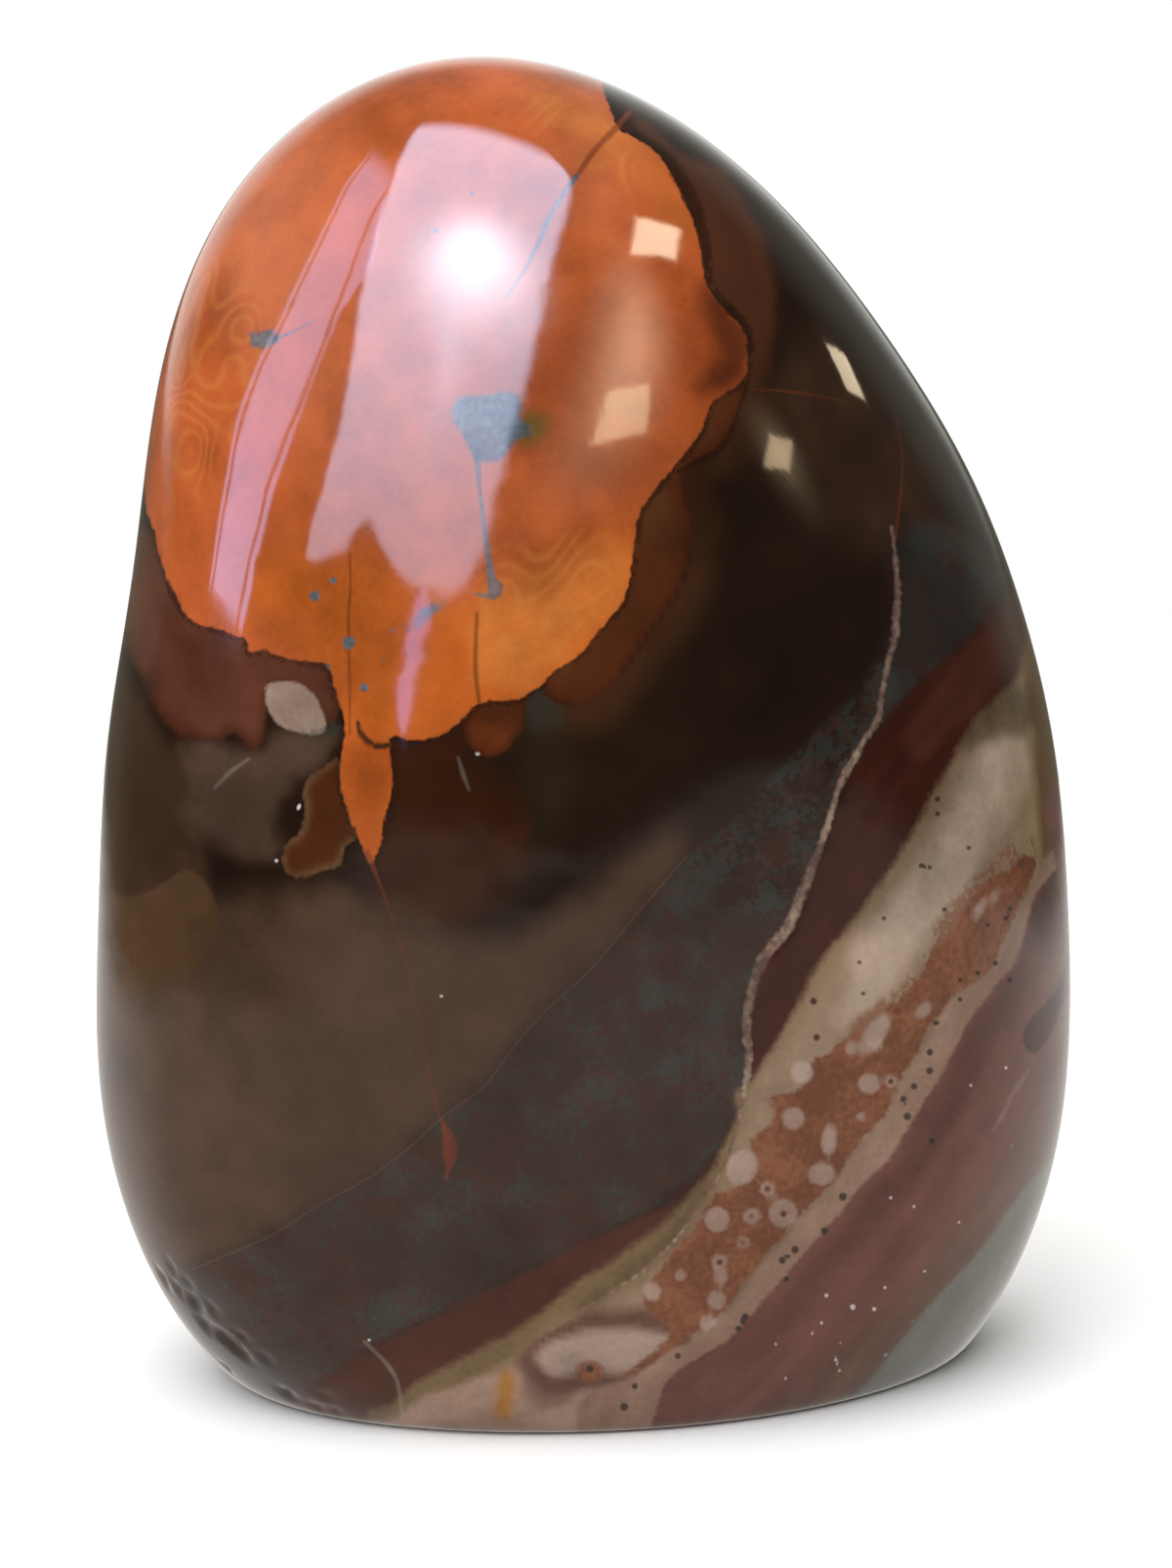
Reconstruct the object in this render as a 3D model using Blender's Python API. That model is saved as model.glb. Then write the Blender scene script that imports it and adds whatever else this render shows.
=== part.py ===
"""Polychrome jasper freeform: one polished, self-standing piece of banded stone.

Metres, +Z up. The origin is on the flat base, under the middle of the stone, and the
side with the orange cap faces -Y. The form is a rounded cone that leans to the left:
a sphere is stretched to the stone's outline and depth, a chip is taken off its right
side, and the bottom is ground flat, with the sharp rim eased.
"""

import math

import bmesh
import bpy
import numpy as np
from mathutils import Vector

MM = 0.001

# Driving dimensions, in millimetres
CENTRE_HEIGHT = 52.0
HALF_WIDTH = 41.5
HALF_HEIGHT = 65.0
HALF_DEPTH_LOW = 32.0
HALF_DEPTH_TOP = 22.0
TOP_HEIGHT = 117.0
RIM_EASE = 0.8

# Widest outline seen from the front, x and z in millimetres, anticlockwise from the right
# side. The points below z = 0 are the part that the grinding of the base takes away.
OUTLINE = (
    (42.5, 38.0), (41.4, 50.0), (39.0, 63.0), (34.9, 75.0), (29.4, 85.5), (22.6, 96.0),
    (13.3, 105.8), (2.2, 112.6), (-9.0, 116.4), (-20.5, 113.4), (-29.0, 106.0), (-34.6, 95.0),
    (-38.4, 80.0), (-40.7, 62.0), (-42.2, 46.0), (-42.8, 34.0), (-41.6, 21.0), (-38.8, 10.5),
    (-28.6, -1.5), (-16.5, -10.0), (-2.0, -14.0), (13.0, -12.5), (28.0, -6.5), (37.0, 3.0),
    (40.2, 15.0),
)
OUTLINE_WAVES = 6

# How full the front and back are: 0 is an ellipsoid, larger is boxier
FULLNESS_ACROSS = 0.12
FULLNESS_UPRIGHT = 0.36

# The front runs back towards the right by this much of x, more so near the base
TURN = 0.06
TURN_AT_BASE = 0.15
TURN_FADE_HEIGHT = 30.0

# Chip on the right side: a flat that is polished over, with a soft edge
CHIP_FACING = (1.0, 0.35, 0.03)
CHIP_CENTRE = (41.0, 7.0, 44.0)
CHIP_EDGE = 0.4

# Slow waves left by hand polishing: height, wavelength and direction of each
POLISH_WAVES = (
    (0.07, 34.0, (0.9, 0.2, 0.4)),
    (0.045, 23.0, (-0.3, 0.6, 0.75)),
    (0.03, 16.0, (0.5, -0.8, 0.35)),
)

# Mesh of the stone, and of the eased rim round its ground base
SPHERE_LEVEL = 5
RIM_STITCH = 1.2
RIM_SEGMENTS = 2
SHARP_ANGLE = 40.0

STONE_COLOUR = (0.09, 0.035, 0.018, 1.0)
POLISH_ROUGHNESS = 0.08


def clear_scene():
    for obj in list(bpy.data.objects):
        bpy.data.objects.remove(obj, do_unlink=True)


def make_collection(name):
    collection = bpy.data.collections.new(name)
    bpy.context.scene.collection.children.link(collection)
    return collection


def outline_waves():
    """The outline's radius about the centre as a smooth closed curve: its first few waves."""
    x, z = np.array(OUTLINE).T
    angle = np.arctan2(z - CENTRE_HEIGHT, x)
    radius = np.hypot(x, z - CENTRE_HEIGHT)
    return np.linalg.lstsq(wave_terms(angle), radius, rcond=None)[0]


def wave_terms(angle):
    orders = np.arange(1, OUTLINE_WAVES + 1)
    turns = np.outer(angle, orders)
    return np.hstack([np.ones((len(turns), 1)), np.cos(turns), np.sin(turns)])


def stretched(directions):
    """Points of the unit sphere moved out to the stone's outline and depth."""
    nx, ny, nz = directions.T
    angle = np.arctan2(nz, nx)
    sideways = np.hypot(nx, nz)
    edge = wave_terms(angle) @ outline_waves()
    oval = 1.0 / np.hypot(np.cos(angle) / HALF_WIDTH, np.sin(angle) / HALF_HEIGHT)
    reach = sideways * (oval + (edge - oval) * sideways**2)
    x = reach * np.cos(angle)
    z = CENTRE_HEIGHT + reach * np.sin(angle)
    narrowing = (HALF_DEPTH_LOW - HALF_DEPTH_TOP) * (z / TOP_HEIGHT) ** 2
    fullness = 1.0 + FULLNESS_ACROSS * nx**2 + FULLNESS_UPRIGHT * nz**2
    depth = (HALF_DEPTH_LOW - narrowing) * ny * fullness
    turn = TURN + (TURN_AT_BASE - TURN) * np.exp(-((z / TURN_FADE_HEIGHT) ** 2))
    return np.column_stack([x, turn * x + depth, z])


def polished(points, directions):
    """The slow waves that a hand-held polishing wheel leaves."""
    lift = np.zeros(len(points))
    for height, wavelength, heading in POLISH_WAVES:
        phase = points @ (np.array(heading) / np.linalg.norm(heading)) * 2.0 * math.pi / wavelength
        lift += height * np.sin(phase)
    return points + directions * lift[:, None]


def chipped(points):
    """What stands proud of the chip's plane is brought back to it, with a soft edge."""
    facing = np.array(CHIP_FACING) / np.linalg.norm(CHIP_FACING)
    proud = (points - np.array(CHIP_CENTRE)) @ facing
    taken = (proud + np.hypot(proud, CHIP_EDGE)) / 2.0
    return points - taken[:, None] * facing


def make_body():
    mesh = bmesh.new()
    bmesh.ops.create_icosphere(mesh, subdivisions=SPHERE_LEVEL, radius=1.0)
    directions = np.array([vert.co.normalized() for vert in mesh.verts])
    points = chipped(polished(stretched(directions), directions)) * MM
    for vert, point in zip(mesh.verts, points):
        vert.co = Vector(point)
    return mesh


def grind_base(mesh):
    """Cuts the bottom off flat at z = 0, closes it, and eases the rim."""
    everything = mesh.verts[:] + mesh.edges[:] + mesh.faces[:]
    bmesh.ops.bisect_plane(
        mesh, geom=everything, dist=1e-7, plane_co=(0, 0, 0), plane_no=(0, 0, 1), clear_inner=True
    )
    rim = [vert for vert in mesh.verts if abs(vert.co.z) < 1e-6]
    bmesh.ops.remove_doubles(mesh, verts=rim, dist=RIM_STITCH * MM)
    rim_edges = [edge for edge in mesh.edges if edge.is_boundary]
    base = bmesh.ops.contextual_create(mesh, geom=rim_edges)["faces"][0]
    bmesh.ops.bevel(
        mesh, geom=base.edges[:], offset=RIM_EASE * MM, segments=RIM_SEGMENTS, profile=0.5,
        affect="EDGES",
    )
    bmesh.ops.recalc_face_normals(mesh, faces=mesh.faces)


def centre_over_origin(mesh):
    """Moves the stone so that the origin is under the middle of its box."""
    places = np.array([vert.co for vert in mesh.verts])
    middle = (places.min(axis=0) + places.max(axis=0)) / 2.0
    bmesh.ops.translate(mesh, verts=mesh.verts, vec=(-middle[0], -middle[1], 0.0))


def jasper_material():
    material = bpy.data.materials.new("polished_jasper")
    material.use_nodes = True
    shader = material.node_tree.nodes["Principled BSDF"]
    shader.inputs["Base Color"].default_value = STONE_COLOUR
    shader.inputs["Roughness"].default_value = POLISH_ROUGHNESS
    shader.inputs["Metallic"].default_value = 0.0
    material.diffuse_color = STONE_COLOUR
    return material


def make_stone(collection):
    body = make_body()
    grind_base(body)
    centre_over_origin(body)
    data = bpy.data.meshes.new("stone")
    body.to_mesh(data)
    body.free()
    data.materials.append(jasper_material())
    data.shade_smooth()
    data.set_sharp_from_angle(angle=math.radians(SHARP_ANGLE))
    stone = bpy.data.objects.new("stone", data)
    collection.objects.link(stone)
    return stone


def main():
    clear_scene()
    make_stone(make_collection("polychrome_jasper"))


main()
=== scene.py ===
"""Polychrome jasper freeform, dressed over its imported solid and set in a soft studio.

The stone is one piece. Its visible mesh follows the same formula as the solid, much finer,
and carries the drawing of the stone's markings as distances in millimetres, which the
jasper material turns into bands, orbs, seams and stains.
"""

import logging
import math
from dataclasses import dataclass
from enum import Enum

import bmesh
import bpy
import numpy as np
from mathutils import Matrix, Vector


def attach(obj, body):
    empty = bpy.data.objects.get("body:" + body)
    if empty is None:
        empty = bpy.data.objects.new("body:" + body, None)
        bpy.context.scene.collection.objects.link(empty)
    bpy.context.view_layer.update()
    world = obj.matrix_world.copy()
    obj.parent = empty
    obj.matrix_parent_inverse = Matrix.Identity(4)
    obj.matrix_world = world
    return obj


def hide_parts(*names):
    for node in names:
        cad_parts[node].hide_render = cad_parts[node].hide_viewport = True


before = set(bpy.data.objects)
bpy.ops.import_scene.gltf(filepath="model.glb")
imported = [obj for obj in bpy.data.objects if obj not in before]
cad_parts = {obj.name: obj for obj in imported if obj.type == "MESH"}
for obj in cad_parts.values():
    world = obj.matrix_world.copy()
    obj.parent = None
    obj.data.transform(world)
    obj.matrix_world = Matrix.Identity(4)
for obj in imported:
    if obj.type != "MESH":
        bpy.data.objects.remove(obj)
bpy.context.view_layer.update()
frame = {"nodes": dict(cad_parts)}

MM = 0.001
LOG = logging.getLogger("jasper")
Socket = bpy.types.NodeSocket
Colour = tuple[float, float, float, float]
Place = tuple[float, float, float]
Point = tuple[float, float]


def linear(code: str) -> Colour:
    """Turns an sRGB hex colour into the linear colour that shaders use.

    Args:
        code: the colour as "#rrggbb".

    Returns:
        Linear red, green, blue, and 1 for alpha.
    """
    parts = [int(code[place : place + 2], 16) / 255.0 for place in (1, 3, 5)]
    red, green, blue = (
        part / 12.92 if part <= 0.04045 else ((part + 0.055) / 1.055) ** 2.4 for part in parts
    )
    return (red, green, blue, 1.0)


class Shading:
    """Writes the nodes of one material, light or room."""

    def __init__(self, tree: bpy.types.NodeTree) -> None:
        """Keeps the node tree to write in."""
        self.tree = tree

    def node(
        self, kind: str, settings: dict | None = None, inputs: dict | None = None
    ) -> bpy.types.Node:
        """Adds a node, sets it up and feeds its sockets.

        Args:
            kind: the node's type, without the leading "ShaderNode".
            settings: values of the node's own properties.
            inputs: by socket name or number, a plain value or the output socket that feeds it.

        Returns:
            The new node.
        """
        node = self.tree.nodes.new("ShaderNode" + kind)
        for name, value in (settings or {}).items():
            setattr(node, name, value)
        for name, value in (inputs or {}).items():
            if isinstance(value, Socket):
                self.tree.links.new(value, node.inputs[name])
            else:
                node.inputs[name].default_value = value
        return node

    def calc(self, operation: str, *values: Socket | float) -> Socket:
        """Works out one operation on numbers."""
        return self.node("Math", {"operation": operation}, dict(enumerate(values))).outputs[0]

    def step(self, value: Socket, low: float, high: float, reach: float = 1.0) -> Socket:
        """Rises smoothly from 0 to reach as value goes from low to high."""
        return self.node(
            "MapRange", {"interpolation_type": "SMOOTHSTEP"},
            {"Value": value, "From Min": low, "From Max": high, "To Max": reach},
        ).outputs[0]

    def mix(self, under: Socket | Colour, over: Socket | Colour, cover: Socket) -> Socket:
        """Lays one colour over another by a cover from 0 to 1."""
        return self.node(
            "Mix", {"data_type": "RGBA"}, {"Factor": cover, "A": under, "B": over}
        ).outputs["Result"]


@dataclass(frozen=True)
class PhotoView:
    """The place that the photograph was taken from, and its frame of 1200 by 1605 points.

    Attributes:
        elevation: how far the camera looks down, in degrees.
        distance: from the camera to the point it looks at, in millimetres.
        target: the point it looks at, in millimetres.
        point: the size of one photo point on the stone, in millimetres.
        frame: the photo's width and height in points.
        sensor: the height of the camera's sensor, in millimetres.
    """

    elevation: float = 15.0
    distance: float = 1000.0
    target: Place = (0.1, 0.0, 51.7)
    point: float = 0.085
    frame: tuple[int, int] = (1200, 1605)
    sensor: float = 36.0

    def axes(self) -> tuple[np.ndarray, np.ndarray, np.ndarray]:
        """Returns the view's right, up and forward directions."""
        tilt = math.radians(self.elevation)
        forward = np.array([0.0, math.cos(tilt), -math.sin(tilt)])
        right = np.array([1.0, 0.0, 0.0])
        return right, np.cross(right, forward), forward

    def eye(self) -> np.ndarray:
        """Returns the camera's place in millimetres."""
        return np.array(self.target) - self.axes()[2] * self.distance

    def project(self, points: np.ndarray) -> np.ndarray:
        """Finds where points show in the photograph.

        Args:
            points: places in millimetres, one a row.

        Returns:
            Photo points, x to the right and y down, one a row.
        """
        right, up, forward = self.axes()
        away = points - self.eye()
        scale = self.distance / self.point / (away @ forward)
        middle = np.array(self.frame) / 2.0
        return middle + np.column_stack([away @ right * scale, -(away @ up) * scale])

    def build(self) -> bpy.types.Object:
        """Places the camera and makes it the scene's own.

        Returns:
            The camera object.
        """
        data = bpy.data.cameras.new("photo_camera")
        data.sensor_fit = "VERTICAL"
        data.sensor_height = self.sensor
        data.lens = self.sensor * self.distance / (self.frame[1] * self.point)
        data.clip_end = 20.0 * self.distance * MM
        camera = bpy.data.objects.new("photo_camera", data)
        camera.location = Vector(self.eye() * MM)
        camera.rotation_euler = (math.radians(90.0 - self.elevation), 0.0, 0.0)
        bpy.context.scene.collection.objects.link(camera)
        bpy.context.scene.camera = camera
        return camera


@dataclass(frozen=True)
class StoneForm:
    """The stone's shape, from the same driving dimensions as its solid, in millimetres.

    The waves of the polish are given by height, wavelength and direction. The cells are the
    squares along each edge of the cube that the mesh is blown up from.
    """

    centre_height: float = 52.0
    half_width: float = 41.5
    half_height: float = 65.0
    half_depth_low: float = 32.0
    half_depth_top: float = 22.0
    top_height: float = 117.0
    rim_ease: float = 0.8
    outline: tuple[tuple[float, float], ...] = (
        (42.5, 38.0), (41.4, 50.0), (39.0, 63.0), (34.9, 75.0), (29.4, 85.5), (22.6, 96.0),
        (13.3, 105.8), (2.2, 112.6), (-9.0, 116.4), (-20.5, 113.4), (-29.0, 106.0),
        (-34.6, 95.0), (-38.4, 80.0), (-40.7, 62.0), (-42.2, 46.0), (-42.8, 34.0),
        (-41.6, 21.0), (-38.8, 10.5), (-28.6, -1.5), (-16.5, -10.0), (-2.0, -14.0),
        (13.0, -12.5), (28.0, -6.5), (37.0, 3.0), (40.2, 15.0),
    )
    outline_waves: int = 6
    fullness_across: float = 0.12
    fullness_upright: float = 0.36
    turn: float = 0.06
    turn_at_base: float = 0.15
    turn_fade_height: float = 30.0
    chip_facing: Place = (1.0, 0.35, 0.03)
    chip_centre: Place = (41.0, 7.0, 44.0)
    chip_edge: float = 0.4
    polish_waves: tuple[tuple[float, float, Place], ...] = (
        (0.07, 34.0, (0.9, 0.2, 0.4)),
        (0.045, 23.0, (-0.3, 0.6, 0.75)),
        (0.03, 16.0, (0.5, -0.8, 0.35)),
    )
    cells: int = 124

    def wave_terms(self, angle: np.ndarray) -> np.ndarray:
        """Returns the constant, cosine and sine terms of the outline at each angle."""
        turns = np.outer(angle, np.arange(1, self.outline_waves + 1))
        return np.hstack([np.ones((len(turns), 1)), np.cos(turns), np.sin(turns)])

    def outline_radius(self, angle: np.ndarray) -> np.ndarray:
        """Finds the outline's radius about the stone's centre.

        Args:
            angle: directions in the front plane, in radians.

        Returns:
            The radius in millimetres for each angle.
        """
        x, z = np.array(self.outline).T
        given = np.arctan2(z - self.centre_height, x)
        radius = np.hypot(x, z - self.centre_height)
        waves = np.linalg.lstsq(self.wave_terms(given), radius, rcond=None)[0]
        return self.wave_terms(angle) @ waves

    def turn_at(self, z: np.ndarray) -> np.ndarray:
        """Returns how far back the front runs, per millimetre of x, at each height."""
        fade = np.exp(-((z / self.turn_fade_height) ** 2))
        return self.turn + (self.turn_at_base - self.turn) * fade

    def stretched(self, directions: np.ndarray) -> np.ndarray:
        """Moves points of the unit sphere out to the stone's outline and depth."""
        nx, ny, nz = directions.T
        angle = np.arctan2(nz, nx)
        sideways = np.hypot(nx, nz)
        edge = self.outline_radius(angle)
        oval = 1.0 / np.hypot(np.cos(angle) / self.half_width, np.sin(angle) / self.half_height)
        reach = sideways * (oval + (edge - oval) * sideways**2)
        x = reach * np.cos(angle)
        z = self.centre_height + reach * np.sin(angle)
        narrowing = (self.half_depth_low - self.half_depth_top) * (z / self.top_height) ** 2
        fullness = 1.0 + self.fullness_across * nx**2 + self.fullness_upright * nz**2
        depth = (self.half_depth_low - narrowing) * ny * fullness
        return np.column_stack([x, self.turn_at(z) * x + depth, z])

    def polished(self, points: np.ndarray, directions: np.ndarray) -> np.ndarray:
        """Adds the slow waves that a hand-held polishing wheel leaves."""
        lift = np.zeros(len(points))
        for height, wavelength, heading in self.polish_waves:
            along = points @ (np.array(heading) / np.linalg.norm(heading))
            lift += height * np.sin(along * 2.0 * math.pi / wavelength)
        return points + directions * lift[:, None]

    def chipped(self, points: np.ndarray) -> np.ndarray:
        """Takes the chip off the right side, with a soft edge."""
        facing = np.array(self.chip_facing) / np.linalg.norm(self.chip_facing)
        proud = (points - np.array(self.chip_centre)) @ facing
        taken = (proud + np.hypot(proud, self.chip_edge)) / 2.0
        return points - taken[:, None] * facing

    def ground(self, points: np.ndarray) -> np.ndarray:
        """Grinds the bottom flat at z = 0, with an eased rim."""
        flat = points.copy()
        flat[:, 2] = (points[:, 2] + np.hypot(points[:, 2], self.rim_ease)) / 2.0
        flat[:, 2] -= flat[:, 2].min()
        return flat

    def points(self, directions: np.ndarray) -> np.ndarray:
        """Finds the stone's surface along directions from the middle of a unit sphere.

        Args:
            directions: unit vectors, one a row.

        Returns:
            Places on the stone in millimetres, its box centred over the origin.
        """
        shape = self.ground(self.chipped(self.polished(self.stretched(directions), directions)))
        middle = (shape.min(axis=0) + shape.max(axis=0)) / 2.0
        return shape - [middle[0], middle[1], 0.0]

    def build_mesh(self) -> tuple[bpy.types.Mesh, np.ndarray]:
        """Makes the mesh: a cube with finely cut faces, blown up to the stone.

        Returns:
            The mesh, in metres, and its vertices in millimetres.
        """
        cage = bmesh.new()
        bmesh.ops.create_cube(cage, size=2.0)
        bmesh.ops.subdivide_edges(
            cage, edges=cage.edges[:], cuts=self.cells - 1, use_grid_fill=True
        )
        corners = np.array([vert.co for vert in cage.verts])
        evened = np.tan(corners * math.pi / 4.0)
        directions = evened / np.linalg.norm(evened, axis=1, keepdims=True)
        points = self.points(directions)
        data = bpy.data.meshes.new("polished_stone")
        cage.to_mesh(data)
        cage.free()
        data.vertices.foreach_set("co", (points * MM).ravel().astype(np.float32))
        data.shade_smooth()
        data.update()
        return data, points


class Variation(Enum):
    """How a stain varies over the stone."""

    CLOUDY = "clouds and mottles"
    STREAKY = "streaks along the bands"
    GRAINY = "grains and mottles"


@dataclass(frozen=True)
class Stain:
    """A colour of the jasper: a dark, a middle and a light shade, and how it varies."""

    dark: str
    middle: str
    light: str
    varies: Variation = Variation.CLOUDY


# Jasper: quartz so fine-grained that it is opaque, coloured by iron oxides and clays.
# Ground through ever finer grits and polished wet, it looks deep and glassy all over.
ORANGE = Stain("#904321", "#9b4c25", "#a75728")
BRIGHT_ORANGE = Stain("#96481b", "#a0501c", "#ab5c20")
TOP_ORANGE = Stain("#80432a", "#914d30", "#9f5a3a")
RED_ORANGE = Stain("#70300f", "#803916", "#924a22")
YELLOW = Stain("#a8652c", "#b27036", "#be8048")
HALO = Stain("#2a1107", "#331607", "#3d1b0c")
RED_HALO = Stain("#3a1608", "#48200f", "#562a17")
DARK_LINE = Stain("#120904", "#1b0e07", "#26130b")
BROWN = Stain("#2f190d", "#382011", "#422716")
OLIVE = Stain("#201a0f", "#272013", "#2f281a")
OLIVE_TAN = Stain("#33281a", "#443522", "#56452f")
DARK = Stain("#150c06", "#1b1009", "#22150c")
RED_BROWN = Stain("#3d2015", "#4b2a1e", "#5b382b")
GREY_BROWN = Stain("#35261d", "#47352a", "#5c463a")
POCKET_GREY = Stain("#6a5347", "#7f6a5e", "#978375")
HALO_BROWN = Stain("#3d2110", "#492914", "#57341b")
FLAP_BROWN = Stain("#382719", "#44301f", "#513c2a", Variation.STREAKY)
FOOT_BEIGE = Stain("#735c4d", "#876d5e", "#99806f")
OCHRE = Stain("#734a19", "#8a5b20", "#9e6d30")
EARTH = Stain("#291b11", "#342318", "#412e20")
LOBE_BROWN = Stain("#331708", "#3d1d0c", "#4a2711")
TAUPE = Stain("#37271e", "#3f2d22", "#473429")
RED_SPECK = Stain("#2c1610", "#351b14", "#402219")
TEAL = Stain("#1b221f", "#252d2a", "#313d39")
TEAL_GROUND = Stain("#251b16", "#2f231e", "#392c27", Variation.GRAINY)
BAY_BROWN = Stain("#2c180d", "#3b2013", "#4b2c1b", Variation.STREAKY)
MAROON = Stain("#28100a", "#351710", "#43211a", Variation.STREAKY)
TAN = Stain("#53402a", "#69543a", "#7d674c", Variation.STREAKY)
CREAM = Stain("#67533f", "#7b6653", "#917d69")
YELLOW_CREAM = Stain("#64533b", "#7a684e", "#8e7e66", Variation.STREAKY)
CREAM_LIGHT = Stain("#94806f", "#a5917f", "#b5a292")
PINK_WHITE = Stain("#7c665a", "#907a6d", "#a59083")
MATRIX = Stain("#5d3520", "#6b3f29", "#794b33", Variation.GRAINY)
BEIGE = Stain("#6b5143", "#806454", "#947968", Variation.STREAKY)
MAUVE = Stain("#55332b", "#613d35", "#6e4940", Variation.STREAKY)
DARK_MAUVE = Stain("#3c2019", "#46271f", "#50302a", Variation.STREAKY)
TAN_LINE = Stain("#4a2f22", "#58392a", "#684837", Variation.STREAKY)
GREY_GREEN = Stain("#4d4c43", "#5b5a50", "#6b6a61", Variation.STREAKY)
WEDGE_MAROON = Stain("#260d07", "#39180f", "#4a251a")
GOLD = Stain("#3a2711", "#52371b", "#6a4d2a", Variation.STREAKY)
BLUE_GREY = Stain("#2d3d45", "#3e5058", "#54666d", Variation.GRAINY)
GREEN_SPECK = Stain("#3a3c18", "#525222", "#6a642c", Variation.GRAINY)
QUARTZ = Stain("#54423a", "#725b4f", "#97826f", Variation.GRAINY)
IRON_RED = Stain("#4c2013", "#5c2919", "#70361f")
PALE_SEAM = Stain("#6f685b", "#857c6f", "#a09689")
PORE = Stain("#160e0b", "#1f1511", "#2b201b")
DUST = Stain("#b9b2ab", "#cfc9c3", "#e4e0dc")


@dataclass(frozen=True)
class Patch:
    """A marking's outline, in photo points.

    Attributes:
        outline: its corners in order, which a smooth curve joins.
        shrink: how fast it tapers inside the stone, in mm for each mm of depth.
        at_back: whether it shows only on the far side.
    """

    outline: tuple[Point, ...]
    shrink: float = 0.0
    at_back: bool = False


# The orange cap and what lies in it
CAP = Patch(
    (
        (632, 131), (649, 140), (673, 158), (693, 191), (708, 223), (717, 256), (721, 282),
        (730, 303), (745, 322), (759, 338), (764, 362), (762, 385), (747, 399), (727, 413),
        (720, 436), (702, 462), (677, 493), (654, 524), (650, 550), (645, 590), (640, 608),
        (633, 624), (613, 645), (594, 670), (568, 686), (549, 704), (528, 715), (492, 719),
        (478, 732), (462, 745), (448, 754), (419, 757), (402, 752), (399, 765), (402, 790),
        (401, 809), (393, 842), (389, 866), (379, 884), (367, 856), (357, 831), (348, 794),
        (350, 765), (352, 743), (346, 714), (341, 698), (336, 681), (310, 676), (288, 673),
        (270, 664), (255, 667), (252, 655), (232, 648), (206, 639), (190, 627), (172, 594),
        (161, 556), (150, 520), (148, 470), (152, 420), (162, 370), (175, 320), (190, 270),
        (208, 220), (225, 150), (300, 20), (420, -90), (540, -60), (600, 30), (622, 105),
    ),
    shrink=0.55,
)
CAP_RIM = Patch(CAP.outline, shrink=0.36, at_back=True)
CAP_LOW = Patch(
    (
        (250, 600), (330, 560), (420, 590), (500, 610), (560, 560), (640, 540), (680, 600),
        (620, 690), (520, 740), (440, 780), (400, 900), (350, 870), (330, 690),
    ),
    shrink=1.0,
)
CAP_RED_SIDE = Patch(
    ((640, 150), (720, 210), (770, 340), (760, 410), (720, 430), (690, 400), (660, 300), (640, 210)),
    shrink=0.5,
)
CAP_DEEP_LOBE = Patch(((722, 300), (760, 330), (775, 380), (745, 405), (716, 395), (735, 350)))
CAP_TOP = Patch(
    (
        (240, 60), (330, 20), (560, 20), (660, 150), (620, 240), (575, 200), (540, 130),
        (430, 110), (330, 115), (250, 160),
    ),
)
CAP_RED_TAIL = Patch(
    ((345, 760), (400, 760), (402, 800), (392, 850), (380, 890), (365, 860), (350, 800)),
)
CAP_RED_MIDDLE = Patch(
    ((560, 300), (620, 300), (630, 420), (610, 540), (560, 600), (520, 560), (530, 420)),
)
CAP_YELLOW_TOP = Patch(((560, 90), (640, 130), (700, 200), (690, 235), (640, 180), (560, 120)))
CAP_YELLOW_LOW = Patch(
    ((500, 600), (560, 580), (640, 560), (640, 610), (590, 665), (530, 700), (480, 690)),
)
SWIRL_LEFT = Patch(
    ((215, 250), (265, 290), (275, 380), (240, 470), (205, 520), (165, 500), (160, 380), (180, 290)),
)
SWIRL_TOP = Patch(((520, 80), (600, 110), (650, 150), (640, 220), (590, 170), (540, 130)))
SWIRL_LOW = Patch(((500, 560), (600, 540), (640, 570), (600, 650), (530, 690), (480, 640)))
CAP_SMUDGE = Patch(((270, 195), (310, 200), (300, 222), (250, 240), (225, 232), (240, 210)))
BLUE_BLOB = Patch(
    (
        (467, 414), (482, 405), (505, 404), (527, 400), (536, 412), (532, 430), (546, 441),
        (528, 449), (516, 470), (503, 476), (484, 471), (476, 452), (466, 434),
    ),
    shrink=1.0,
)
GREEN_FLECK = Patch(((532, 425), (553, 424), (560, 440), (545, 452), (530, 446)), 1.0)
BLUE_SLIP = Patch(((253, 342), (270, 338), (286, 343), (283, 352), (262, 356)), 1.0)
BLUE_DASH = Patch(
    ((400, 647), (424, 635), (436, 622), (459, 615), (457, 622), (440, 632), (428, 642), (404, 649)),
    1.0,
)
CAP_CRESCENT = Patch(
    ((367, 735), (374, 752), (386, 760), (401, 758), (400, 765), (384, 767), (370, 758), (364, 744)),
    1.0,
)

# Round the cap
HALO_RIGHT = Patch(
    (
        (720, 395), (763, 392), (760, 420), (742, 455), (708, 478), (700, 492), (705, 515),
        (711, 545), (706, 582), (690, 617), (666, 650), (641, 685), (619, 711), (597, 723),
        (578, 721), (556, 706), (560, 640), (620, 480),
    ),
    shrink=0.8,
)
HALO_LEFT = Patch(
    (
        (118, 560), (150, 540), (200, 600), (260, 640), (345, 660), (350, 720), (336, 742),
        (300, 705), (276, 715), (272, 745), (262, 768), (240, 751), (224, 757), (205, 757),
        (185, 751), (170, 741), (158, 722), (150, 700), (128, 660),
    ),
    shrink=0.6,
)
HALO_LOW = Patch(((640, 570), (720, 540), (720, 640), (620, 740), (560, 730), (600, 660)), 0.8)
BAY = Patch(
    (
        (470, 720), (540, 700), (538, 722), (535, 745), (520, 768), (497, 776), (480, 764),
        (474, 745),
    ),
    1.0,
)
BAY_RED = Patch(((476, 745), (490, 740), (512, 742), (522, 755), (508, 772), (486, 768)), 1.0)
POCKET_PATCH = Patch(
    ((273, 702), (300, 698), (318, 708), (330, 730), (334, 744), (322, 752), (290, 745), (277, 730)),
    1.0,
)
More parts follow.
